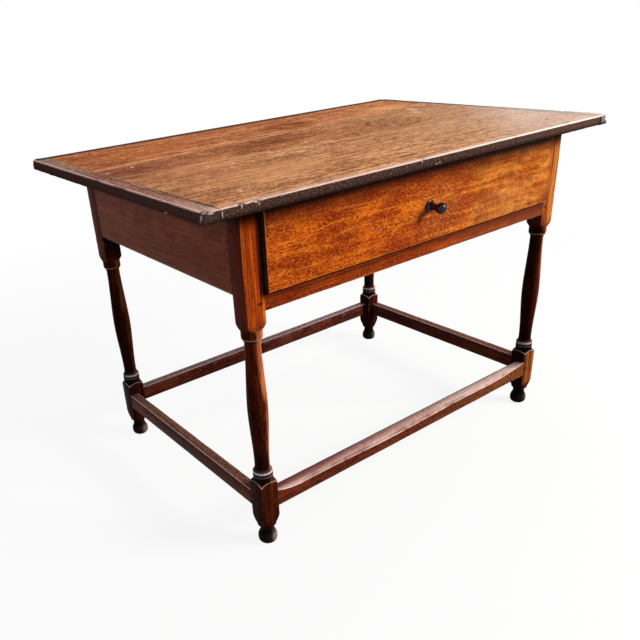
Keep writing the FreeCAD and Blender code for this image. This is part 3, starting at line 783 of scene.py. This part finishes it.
def iron_finish():
    """Wrought iron gone brown, with rust in patches."""
    wood = Wood("wrought_iron", 2, 170.0)
    rust = wood.place.noise([3] * 3, 4.0, 3.0)
    colour = rust.above(0.45, 0.65).between((52, 46, 44), (104, 58, 36))
    return wood.feed(Base_Color=colour, Metallic=rust.below(0.45, 0.6) * 0.8,
                     Roughness=rust * 0.4 + 0.4)


for strip in ("guide_left", "guide_right", "runner_left", "runner_right"):
    node = "drawer_" + strip
    dressed(node, bare_finish("sawn_" + node, 1, 180.0 + len(node)))
iron = iron_finish()
for node in ("guide_nails", "runner_nails", "bottom_nails"):
    dressed(node, iron)

# ---- Drawer sides, back and bottom -------------------------------------------------------------
# Thin softwood, planed and left bare: the sides dovetailed to front and back, and two bottom
# boards feathered into grooves and nailed up to the back.
stain_end = box("drawer_front")[1].y
dressed("drawer_side_left", bare_finish("drawer_side_left_wood", 1, 201.0, stain_end))
dressed("drawer_side_right", bare_finish("drawer_side_right_wood", 1, 208.0, stain_end))
dressed("drawer_back", bare_finish("drawer_back_wood", 0, 215.0))
dressed("drawer_bottom_front", bare_finish("bottom_front_wood", 0, 222.0))
dressed("drawer_bottom_rear", bare_finish("bottom_rear_wood", 0, 229.0))

# ---- Drawer front ------------------------------------------------------------------------------
# One wide board with a lively figure, stained orange and waxed, half-blind dovetailed to the
# sides. Its right third is yellower, and it has a few small holes, a plug and a rubbed lower arris.
front_low, front_high = box("drawer_front")
# Patches of the front: x and z, reach in x, y and z, colour, its share and how soft they end.
broad_patches = (((240, 585), (170, 80, 60), (206, 142, 92), 0.35, 0.9),
                 ((215, 583), (75, 60, 34), (132, 62, 24), 0.5, 0.8),
                 ((390, 590), (70, 60, 36), (132, 62, 24), 0.5, 0.8),
                 # This patch is painted shade under the top.
                 ((150, 674), (95, 60, 28), (132, 62, 24), 0.5, 0.8),
                 ((40, 612), (130, 90, 95), (150, 84, 50), 0.55, 0.8))
# Dark veins: x, z and reach. Small holes: x, z, reach and darkness.
veins = ((-330, 625, 90), (-240, 612, 90), (-60, 600, 120), (60, 640, 100))
holes = ((-148, 614, 4.5, 0.8), (-283, 647, 3, 0.7), (-194, 644, 2.6, 0.7), (132, 682, 3, 0.7),
         (28, 659, 2.6, 0.6), (322, 600, 3, 0.6), (-60, 668, 2.2, 0.6), (180, 690, 2.5, 0.5),
         (-350, 575, 2.5, 0.6))


def drawer_front_finish():
    wood = Wood("drawer_front_wood", 0, 240.0, ring=6, heart=(-250, 560), wander=20)
    x, y, z = wood.xyz
    blotch = wood.place.noise([70, 40, 34], 3.0, 4.0)
    streak = wood.streaks(170, 8, 4, 20)
    dashes = wood.streaks(5, 2.0, 2, 21)
    pits = wood.streaks(4.4, 2.6, 2, 22)
    right = (x + (wood.clouds - 0.5) * 90 + (wood.mottle - 0.5) * 40).above(108, 150)
    body = blotch.above(0.38, 0.62).between((156, 54, 11), (216, 102, 22))
    yellow = blotch.above(0.38, 0.62).between((176, 92, 26), (224, 148, 62))
    wood.colour = body.mixed(yellow, right * 0.85)
    for (across, up), (wide, deep, tall), colour, share, soft in broad_patches:
        wood.mark((across, front_low.y, up), (wide, deep, tall), colour, share, soft)
    wood.stain((150, 52, 14), wood.rings ** 3 * 0.35)
    wood.stain((142, 46, 14), streak.above(0.52, 0.62) * 0.6)
    wood.stain((242, 146, 42), streak.below(0.38, 0.46) * 0.4)
    wood.stain((112, 34, 9), dashes.above(0.50, 0.57) * (1 - right * 0.4) * 0.62)
    wood.stain((238, 142, 52), dashes.below(0.37, 0.46) * 0.42)
    wood.stain((66, 20, 8), pits.above(0.60, 0.66) * 0.7)
    smudge = wood.place.noise([46, 40, 30], 3.0, 6.0).above(0.52, 0.62)
    wood.stain((122, 58, 20), smudge * (right * 0.3 + 0.2))
    broken = wood.mottle.above(0.38, 0.55) * 0.6
    for across, up, reach in veins:
        wood.mark((across, front_low.y, up), (reach, 60, 3.4), (120, 32, 12), broken)
    wood.mark((257, front_low.y, 640), (18, 60, 22), (120, 56, 22), 0.6)
    for across, up, reach, share in holes:
        wood.mark((across, front_low.y, up), [reach] * 3, (44, 16, 10), share, 0.4)
    wood.mark((-146, front_low.y, 611), [6.5] * 3, (176, 108, 70), 0.35, 0.3)
    wood.stain((110, 34, 14), x.above(front_high.x - 16, front_high.x) * 0.6)
    # Painted shadow of the top's overhang on the upper front, darkest at its top and towards the
    # right.
    wood.stain((84, 32, 12), z.above(front_high.z - 60, front_high.z - 12) * 0.75)
    wood.stain((40, 14, 7), z.above(front_high.z - 34, front_high.z - 12) * x.above(-60, 380)
               * 0.65)
    wood.stain((20, 8, 6), z.above(front_high.z - 22, front_high.z - 9) * 0.9)
    wood.stain((226, 150, 86), wood.arris((1, front_low.y), (2, front_low.z), 2.6, 0.4) * 0.6)
    wood.stain((214, 150, 110), wood.arris((1, front_low.y), (0, front_low.x), 2.2, 0.45) * 0.7)
    # Painted shade on all of the board behind its face: ends, edges and back.
    wood.stain((36, 16, 11), y.above(front_low.y + 1.4, front_low.y + 2.4) * 0.9)
    return wood.finish(0.40, specular=0.02)


front = timber("drawer_front_board", front_low, front_high)
rounded(front, lambda a, b: max(a.y, b.y) < front_low.y + 1, 1.3)
crosscut(front, 0, 72)
crosscut(front, 2, 14)
for node in ("drawer_side_left", "drawer_side_right"):
    bpy.ops.object.select_all(action="DESELECT")
    socket = placed_copy(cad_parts[node], "socket")
    socket.parent = None
    choose(socket, "VERT", everywhere)
    bpy.ops.mesh.remove_doubles(threshold=0.01 * mm)
    bpy.ops.object.mode_set(mode="OBJECT")
    front = joined(front, socket, "DIFFERENCE")
worn(front, lambda co: co.y < front_low.y + 3, depth=0.5, size=90, level=0.8)
worn(front, lambda co: co.y < front_low.y + 3
     and (co.z < front_low.z + 2 or abs(co.x) > front_high.x - 2), depth=1.5, size=9, level=0.85)
smoothed(front)
fit_out(front, "drawer_front", "drawer", drawer_front_finish())

# ---- Knob --------------------------------------------------------------------------------------
# A small turned knob, its shank glued through the drawer front: flat foot, hollow waist and a
# mushroom head, almost black and polished by hands.
knob_low, knob_high = box("drawer_knob")
knob_length = front_low.y - knob_low.y
knob_x = (knob_low.x + knob_high.x) / 2
knob_z = (knob_low.z + knob_high.z) / 2
foot_radius = (knob_high.x - knob_low.x) / 2
shank_radius = 5
shank_length = 12
foot_round = 0.8
foot_band = 1.8
foot_step = 1.2
waist = (6.2, 16.5)
head = (11.4, 30)


def knob_finish():
    wood = Wood("knob_wood", 1, 260.0, ring=1.6, heart=(knob_x + 4, knob_z + 5))
    wood.paint((62, 24, 19), (40, 16, 13), (24, 10, 9), (12, 6, 6))
    polish = wood.mottle.above(0.30, 0.60) * 0.1 + 0.28
    wood.shader.inputs["Coat Roughness"].default_value = 0.12
    return wood.finish(0.26, specular=0.02, sheen=polish, grain_depth=0.1)


profile = [(shank_radius, -shank_length), (shank_radius, -0.3),
           (foot_radius - foot_round, -0.2)]
profile += quarter(profile[-1], (foot_radius, foot_round), False, 4)
profile += [(foot_radius, foot_band)]
profile += quarter(profile[-1], (foot_radius - foot_step, foot_band + 0.8), True, 4)
profile += quarter(profile[-1], waist, False, 12)
profile += swell(waist, (head[0], head[1] - 2), 12)
profile += [(head[0], head[1])]
profile += quarter(profile[-1], (1, knob_length), True, 12)
knob = turned("turned_knob", profile)
knob.data.transform(Matrix.Translation(Vector((knob_x, front_low.y, knob_z)) * mm)
                    @ Matrix.Rotation(math.pi / 2, 4, "X"))
smoothed(knob, 40)
fit_out(knob, "drawer_knob", "drawer", knob_finish())

# ---- Top ---------------------------------------------------------------------------------------
# Three wide boards with slanting seams, tongued into a narrow breadboard at each end. The waxed
# surface is orange-brown and streaked, paler to the right partly by painted sheen; the edges are
# dark with handling and painted shade below, their arrises rubbed pale, the front one with a
# painted highlight.
back_board_low = box("top_board_back")[0]
middle_low, middle_high = box("top_board_middle")
front_board_high = box("top_board_front")[1]
top_low = box("breadboard_left")[0]
right_low, top_high = box("breadboard_right")
board_end = right_low.x
back_seam = (back_board_low.y, middle_high.y)
front_seam = (front_board_high.y, middle_low.y)
# Patches of the upper face: x and y, reach in x and y, colour and its share.
patches = (((-485, 45), (130, 75), (112, 58, 50), 0.55),
           ((-380, 30), (120, 60), (128, 74, 60), 0.45),
           ((-100, 60), (190, 60), (104, 52, 34), 0.65),
           ((-350, -60), (160, 70), (214, 142, 102), 0.5),
           ((-470, 170), (70, 110), (150, 78, 60), 0.4),
           ((-180, 30), (70, 60), (112, 60, 44), 0.4),
           ((-440, -90), (170, 170), (150, 74, 52), 0.28),
           ((-470, -10), (90, 50), (96, 48, 42), 0.35),
           ((-330, 215), (210, 110), (222, 130, 66), 0.2),
           ((50, 205), (120, 50), (104, 52, 34), 0.65),
           ((400, 205), (100, 45), (240, 176, 122), 0.6),
           ((-300, -205), (220, 90), (216, 154, 106), 0.5))
# Painted glint spots: x, y and reach. Painted speck glints: x and y. Nicks of the edges: place and
# reach.
glint_spots = ((417, 120, 16), (380, 69, 14), (398, 92, 9))
speck_glints = ((-504, 52), (-443, 68), (-347, -64), (-425, -283), (-68, -23), (-300, -81))
edge_nicks = (((-472, -355, 727), (1.8, 6, 5)), ((-462, -355, 729), (6, 5, 1.6)),
              ((-446, -355, 728), (5, 5, 1.8)), ((-441, -355, 724), (1.6, 5, 3)),
              ((-70, -355, 727), (1.6, 5, 4)), ((-31, -355, 716), (2.4, 5, 1.6)),
              ((-22, -355, 717), (2, 5, 2)), ((-545, -244, 713), (5, 3, 1.8)),
              ((-545, -238, 711), (5, 4, 1.2)), ((-545, -347, 716), (5, 1.8, 3)),
              ((-538, -350, 728), (5, 4, 4)), ((-530, -355, 727), (8, 4, 2.4)),
              ((-543, -349, 722), (3, 3, 6)), ((-510, -355, 722), (1.4, 4, 9)))
# Knocked corners. Of the front edge: x, depth and reach. Of the ends: y, depth and reach.
front_knocks = ((-472, 2.0, 7), (-446, 1.4, 6), (-70, 1.2, 6), (210, 1.0, 6), (388, 1.2, 7))
end_knocks = ((top_low.y, 2.2, 12), (top_low.y, 1.6, 6), (top_high.y, 1.4, 9), (-244, 1.2, 7))
outer_round = 3.0
seam_round = 0.7
edge_worn = 3


def seam_line(wood, seam, offset=0.0):
    """Distance across the boards from a seam given by its two ends."""
    slope = (seam[1] - seam[0]) / (2 * board_end)
    return abs(wood.xyz[1] - wood.xyz[0] * slope - ((seam[0] + seam[1]) / 2 + offset))


def top_paint(wood):
    """What all boards of the top share: patches, marks, seams and joints, edges and arrises."""
    x, y, z = wood.xyz
    face = top_high.z
    # Paler towards the right front: partly a real difference of finish, partly painted sheen.
    rightwards = x.above(-150, 460) * (1 - y.above(80, 200) * 0.7)
    wood.stain((182, 142, 108), rightwards * 0.55)
    fleck = wood.streaks(16, 7, 2, 40)
    wood.stain((84, 40, 26), fleck.above(0.54, 0.62) * 0.4)
    wood.stain((232, 170, 122), fleck.below(0.36, 0.44) * 0.35)
    uneven = wood.mottle.above(0.36, 0.60) * 0.4 + 0.6
    for (across, back), (wide, deep), colour, share in patches:
        wood.mark((across, back, face), (wide, deep, 60), colour, uneven * share, 0.7)
    warp = (wood.mottle - 0.5) * 60
    turn = wood.place.node("ShaderNodeCombineXYZ", {}, {0: x + warp, 1: y + warp, 2: face})
    ripple = turn.spot((232, 6, face), (100, 80, 40), 1.0)
    eddy = abs((ripple * 2.4).fraction() - 0.5).below(0.08, 0.22)
    wood.stain((150, 112, 92), ripple.above(0.3, 0.8) * 0.35)
    wood.stain((88, 50, 38), eddy * ripple.above(0.02, 0.2) * wood.bands.above(0.3, 0.5) * 0.5)
    beyond = (abs(x) - board_end).above(0, 1)
    broken = wood.streaks(60, 30, 3, 14).above(0.38, 0.50) * (1 - beyond)
    for seam, fade in ((back_seam, 0), (front_seam, -330)):
        away = seam_line(wood, seam)
        shown = broken * (x.above(fade - 60, fade) * 0.7 + 0.3 if fade else 1)
        wood.stain((232, 180, 144), away.below(1.6, 6) * shown * 0.65)
        wood.stain((224, 158, 112), away.below(4, 13) * shown * x.below(-300, -120) * 0.5)
        wood.stain((56, 26, 18), away.below(0.3, 0.9) * (1 - beyond) * 0.7)
    scratch = seam_line(wood, back_seam, 25).below(1.6, 6) * x.above(-300, -240)
    wood.stain((228, 176, 140), scratch * broken * 0.6)
    # Painted glints.
    for across, back, reach in glint_spots:
        wood.mark((across, back, face), (reach, reach * 1.8, 20), (232, 190, 148), 0.6, 0.7)
    joint = abs(abs(x) - board_end)
    crack = abs(joint - (y * 0.03 + 13)).below(0.8, 2.0) * y.below(-120, -60)
    wood.stain((36, 20, 17), crack * beyond * 0.85)
    joint_tone = y.above(-190, -100).between((36, 20, 16), (168, 124, 104))
    wood.stain(joint_tone, joint.below(0.9, 2.4) * 0.8)
    speck = wood.place.noise([5, 12, 5], 1.0, 31.0)
    wood.stain((236, 196, 166), speck.above(0.74, 0.78) * 0.6)
    wood.stain((62, 28, 20), speck.below(0.24, 0.28) * 0.5)
    # Painted glints on small specks.
    for across, back in speck_glints:
        wood.mark((across, back, face), (3.2, 8, 3), (240, 206, 178), 0.8, 0.5)
    rim = y.above(top_high.y - 34, top_high.y - 22)
    rim = rim.larger(x.above(top_high.x - 22, top_high.x - 14))
    wood.stain((58, 44, 40), rim * y.above(-320, -260) * 0.85)
    side = z.below(face - 2.6, face - 1.2)
    grime = wood.place.noise([4, 4, 2.6], 3.0, 33.0)
    dark = grime.above(0.34, 0.46).between((118, 98, 86), (70, 48, 42))
    dark = dark.mixed((40, 26, 23), grime.above(0.54, 0.64) * 0.6)
    dark = dark.mixed((112, 84, 70), x.above(0, 500) * 0.2)
    end_grain = x.above(board_end - 0.5, board_end + 0.5) * y.below(-350, -346)
    dark = dark.mixed((128, 130, 118), end_grain * 0.7)
    split = (joint - 6).below(0.8, 2.2) * end_grain
    dark = dark.mixed((20, 14, 12), split * 0.9)
    # Painted shade along the lower part of the edges.
    dark = dark.mixed((30, 18, 15), z.below(top_low.z + 2, top_low.z + 10) * 0.75)
    dark = dark.mixed((76, 52, 50), x.below(top_low.x + 4, top_low.x + 8) * 0.7)
    wood.stain(dark, side)
    within = (top_high.y - abs(y)).smaller(top_high.x - abs(x)).above(4, 9)
    under = z.below(top_low.z + 0.5, top_low.z + 1.5) * within
    wood.stain((124, 94, 66), under * 0.85)
    worn_edge = (y - top_low.y).below(8, 26) * x.below(0, 240)
    wood.stain((216, 182, 168), worn_edge * z.above(face - 2, face - 1) * 0.35)
    # Pale front arris: rubbed wear with a painted highlight, broader towards the right.
    wood.stain((232, 190, 176), wood.arris((1, top_low.y), (2, face), 3.2, 0.40) * 0.85)
    growth = x.above(-330, 300)
    rub = (y - top_low.y).below(growth * 3.4 + 1.6, growth * 3.4 + 3.2)
    rub = rub * z.above(face - 3.0, face - 1.6)
    wood.stain((230, 220, 212), rub * (growth * 0.6 + 0.3))
    rub = (x - top_low.x).below(3.6, 5.4) * z.above(face - 3.2, face - 2.0)
    broken = wood.streaks(70, 70, 3, 8).above(0.30, 0.48)
    wood.stain((226, 186, 176), rub * broken * 0.7)
    rub = wood.arris((0, top_high.x), (2, face), 5, 0.36)
    wood.stain((206, 190, 176), rub * (y.below(-330, -180) * 0.65 + 0.05))
    for place, reach in edge_nicks:
        wood.mark(place, reach, (214, 200, 198), 0.75, 0.6)


def top_sheen(wood):
    """Wax: hardly any where hands and plates go, more towards the right end."""
    patchy = wood.clouds.above(0.35, 0.65) * 0.3 + 0.7
    x, y, z = wood.xyz
    amount = (x - y).above(310, 350) * 0.08 + (x - y).above(420, 720) * 0.9
    return amount * patchy * z.above(top_high.z - 2, top_high.z - 1)


def board_finish(name, seed, heart, pale, middle, dark, deep):
    wood = Wood(name, 0, seed, ring=5.5, heart=heart, wander=14, coarse=2.4)
    wood.paint(pale, middle, dark, deep, ring_share=0.30, band_share=0.7, fibre_share=0.55,
               mottle_share=0.5, pore_share=0.5, grit_share=0.5)
    top_paint(wood)
    return wood.finish(0.45, specular=0.0, sheen=top_sheen(wood))


def breadboard_finish(name, seed, far, near):
    wood = Wood(name, 1, seed, ring=3.2, heart=(520, 640), wander=6)
    wood.paint((182, 140, 122), (154, 114, 98), (112, 78, 66), (66, 44, 38), ring_share=0.3,
               fibre_share=0.4, mottle_share=0.5, grit_share=0.5)
    wood.stain(far, wood.xyz[1].above(60, 330) * 0.6)
    wood.stain(near, wood.xyz[1].below(-330, 40) * 0.5)
    wood.stain((206, 172, 160), wood.xyz[1].below(-345, -230) * 0.45)
    top_paint(wood)
    return wood.finish(0.5, specular=0.0, sheen=top_sheen(wood))


def knocked(piece, place, push, reach):
    """A knock: the wood about a place is pushed in."""
    pushed(piece, lambda co: math.dist(co, place) < reach, push)


def handled(board, at_edge):
    """Wears the upper face in broad shallow hollows and the outer edges unevenly."""
    worn(board, lambda co: co.z > top_high.z - 3, depth=0.5, size=130, level=1.0)
    worn(board, at_edge, depth=1.8, size=14, level=0.8)


def plank(name, front_edge, back_edge):
    """Board of the top, each long edge given by its place at the left and right end."""
    board = timber(name, Vector((-board_end, front_edge[0], top_low.z)),
                   Vector((board_end, back_edge[0], top_high.z)))
    middle = (front_edge[0] + back_edge[0]) / 2
    for edge, wanted in ((front_edge, lambda co: co.x > 0 and co.y < middle),
                         (back_edge, lambda co: co.x > 0 and co.y > middle)):
        pushed(board, wanted, (0, edge[1] - edge[0], 0))
    for edge in (front_edge, back_edge):
        outside = abs(abs(edge[0]) - top_high.y) < 1
        rounded(board, lambda a, b: abs(a.x - b.x) > board_end
                and min(abs(a.y - side) for side in edge) < 0.1,
                outer_round if outside else seam_round, 3)
    crosscut(board, 0, 160)
    crosscut(board, 1, 10)
    crosscut(board, 2, 4)
    handled(board, lambda co: abs(co.y) > top_high.y - edge_worn)
    smoothed(board)
    return board


front_edge = (top_low.y, top_low.y)
back_edge = (top_high.y, top_high.y)
for name, node, edges, finish in (
        ("back_plank", "top_board_back", (back_seam, back_edge),
         board_finish("back_plank_wood", 300.0, (220, 655), (214, 138, 90),
                      (186, 110, 70), (138, 70, 44), (94, 42, 30))),
        ("middle_plank", "top_board_middle", (front_seam, back_seam),
         board_finish("middle_plank_wood", 320.0, (40, 640), (208, 142, 94),
                      (180, 112, 68), (130, 70, 44), (86, 42, 30))),
        ("front_plank", "top_board_front", (front_edge, front_seam),
         board_finish("front_plank_wood", 340.0, (-200, 650), (224, 166, 118),
                      (198, 138, 94), (150, 92, 60), (104, 56, 38)))):
    board = plank(name, *edges)
    for x, push, reach in front_knocks:
        knocked(board, Vector((x, top_low.y, top_high.z)), (0, push, -push), reach)
    smoothed(board)
    fit_out(board, node, "table", finish)

for name, node, seed, far, near in (
        ("left_breadboard", "breadboard_left", 360.0, (136, 122, 110), (176, 128, 108)),
        ("right_breadboard", "breadboard_right", 380.0, (118, 74, 50), (164, 148, 134))):
    low, high = box(node)
    outer = low.x if low.x < 0 else high.x
    board = timber(name, low, high)
    rounded(board, lambda a, b: runs_along(2)(a, b) and abs(a.x - outer) < 0.1, 4, 4)
    rounded(board, lambda a, b: runs_along(1)(a, b) and abs(a.x - outer) > 1, seam_round, 2)
    rounded(board, lambda a, b: runs_along(1)(a, b) and abs(a.x - outer) < 0.1, 1.8, 3)
    crosscut(board, 1, 90)
    crosscut(board, 0, 5)
    crosscut(board, 2, 4)
    handled(board, lambda co: abs(co.x - outer) < edge_worn or abs(co.y) > high.y - edge_worn)
    inwards = math.copysign(1, -outer)
    for y, push, reach in end_knocks:
        knocked(board, Vector((outer, y, top_high.z)),
                (inwards * push, -math.copysign(push, y), -push), reach)
    smoothed(board)
    fit_out(board, node, "table", breadboard_finish(name + "_wood", seed, far, near))

# ---- Floor, light and camera ------------------------------------------------------------------
# A plain pale floor that runs out of sight, a large soft lamp at the front right, a broad one
# overhead, a weak one at the left, and the camera above the top, to the left of the front. Their
# places are in metres.
bpy.ops.object.select_all(action="DESELECT")
bpy.ops.mesh.primitive_plane_add(size=60)
floor = settled("floor")


def seen_directly(shade):
    """1 for what the camera sees, by itself, in a gloss or through glass; 0 for scattered light."""
    path = shade.node("ShaderNodeLightPath", {}, {}, "Is Camera Ray")
    return path.larger(path.beside("Is Glossy Ray")).larger(path.beside("Is Transmission Ray"))


floor_material = bpy.data.materials.new("pale_floor")
floor_material.use_nodes = True
floor_tree = floor_material.node_tree
floor_shade = Shade(floor_tree)
floor_seen = seen_directly(floor_shade)
floor_colour = floor_seen.between((120, 112, 108), (240, 240, 240))
floor_matt = floor_shade.node("ShaderNodeBsdfDiffuse", {}, {"Color": floor_colour})
floor_bright = floor_shade.node("ShaderNodeEmission", {}, {"Color": (1, 1, 1, 1)})
floor_place = floor_shade.node("ShaderNodeTexCoord", {}, {}, "Object")
floor_far = floor_place.node("ShaderNodeVectorMath", {"operation": "LENGTH"},
                             {0: floor_place}, "Value")
floor_share = floor_far.above(0.8, 2.6) * 0.12 + 0.88
floor_mix = floor_shade.node("ShaderNodeMixShader", {},
                             {0: floor_seen * floor_share, 1: floor_matt, 2: floor_bright})
floor_tree.links.new(floor_mix.socket, floor_tree.nodes["Material Output"].inputs["Surface"])
floor.data.materials.append(floor_material)

world = bpy.data.worlds.new("studio")
bpy.context.scene.world = world
world.use_nodes = True
sky = Shade(world.node_tree)
sky_colour = sky.node("ShaderNodeMix", {"data_type": "RGBA"},
                      {0: seen_directly(sky), 6: (0.17, 0.175, 0.185, 1), 7: (1, 1, 1, 1)}, 2)
world.node_tree.links.new(sky_colour.socket, world.node_tree.nodes["Background"].inputs["Color"])


def lamp(name, place, aim, size, power, colour):
    """Square area lamp, turned to what it lights."""
    bpy.ops.object.light_add(type="AREA", location=place)
    light = bpy.context.object
    light.name = name
    light.rotation_euler = (Vector(aim) - Vector(place)).to_track_quat("-Z", "Y").to_euler()
    light.data.shape = "SQUARE"
    light.data.size = size
    light.data.energy = power
    light.data.color = colour


lamp("window_lamp", (2.4, -2.9, 2.3), (0, 0, 0.5), 1.4, 226, (1, 0.96, 0.90))
lamp("sky_lamp", (0.5, 0.8, 3.0), (0, 0, 0.5), 2.0, 30, (1, 1, 1))
lamp("fill_lamp", (-2.7, -0.7, 1.2), (0, 0, 0.4), 1.8, 16, (0.96, 0.97, 1.0))

picture = 640
picture_centre = (263, 375)
focal = 692.93
eye = Vector((-1.06545, -1.23246, 0.98673))
yaw, pitch, roll = [math.radians(angle) for angle in (-34.7248, -27.5910, -4.2989)]
level = Vector((math.cos(yaw), math.sin(yaw), 0))
ahead = Vector((-math.sin(yaw), math.cos(yaw), 0))
forward = ahead * math.cos(pitch) + Vector((0, 0, math.sin(pitch)))
rise = level.cross(forward)
sideways = level * math.cos(roll) + rise * math.sin(roll)
upwards = rise * math.cos(roll) - level * math.sin(roll)
bpy.ops.object.camera_add()
camera = bpy.context.object
camera.name = "camera"
turning = Matrix((sideways, upwards, -forward)).transposed()
camera.matrix_world = Matrix.Translation(eye) @ turning.to_4x4()
camera.data.sensor_width = 36
camera.data.lens = focal * camera.data.sensor_width / picture
camera.data.shift_x = (picture / 2 - picture_centre[0]) / picture
camera.data.shift_y = (picture_centre[1] - picture / 2) / picture
bpy.context.scene.camera = camera
bpy.context.scene.view_settings.view_transform = "Standard"
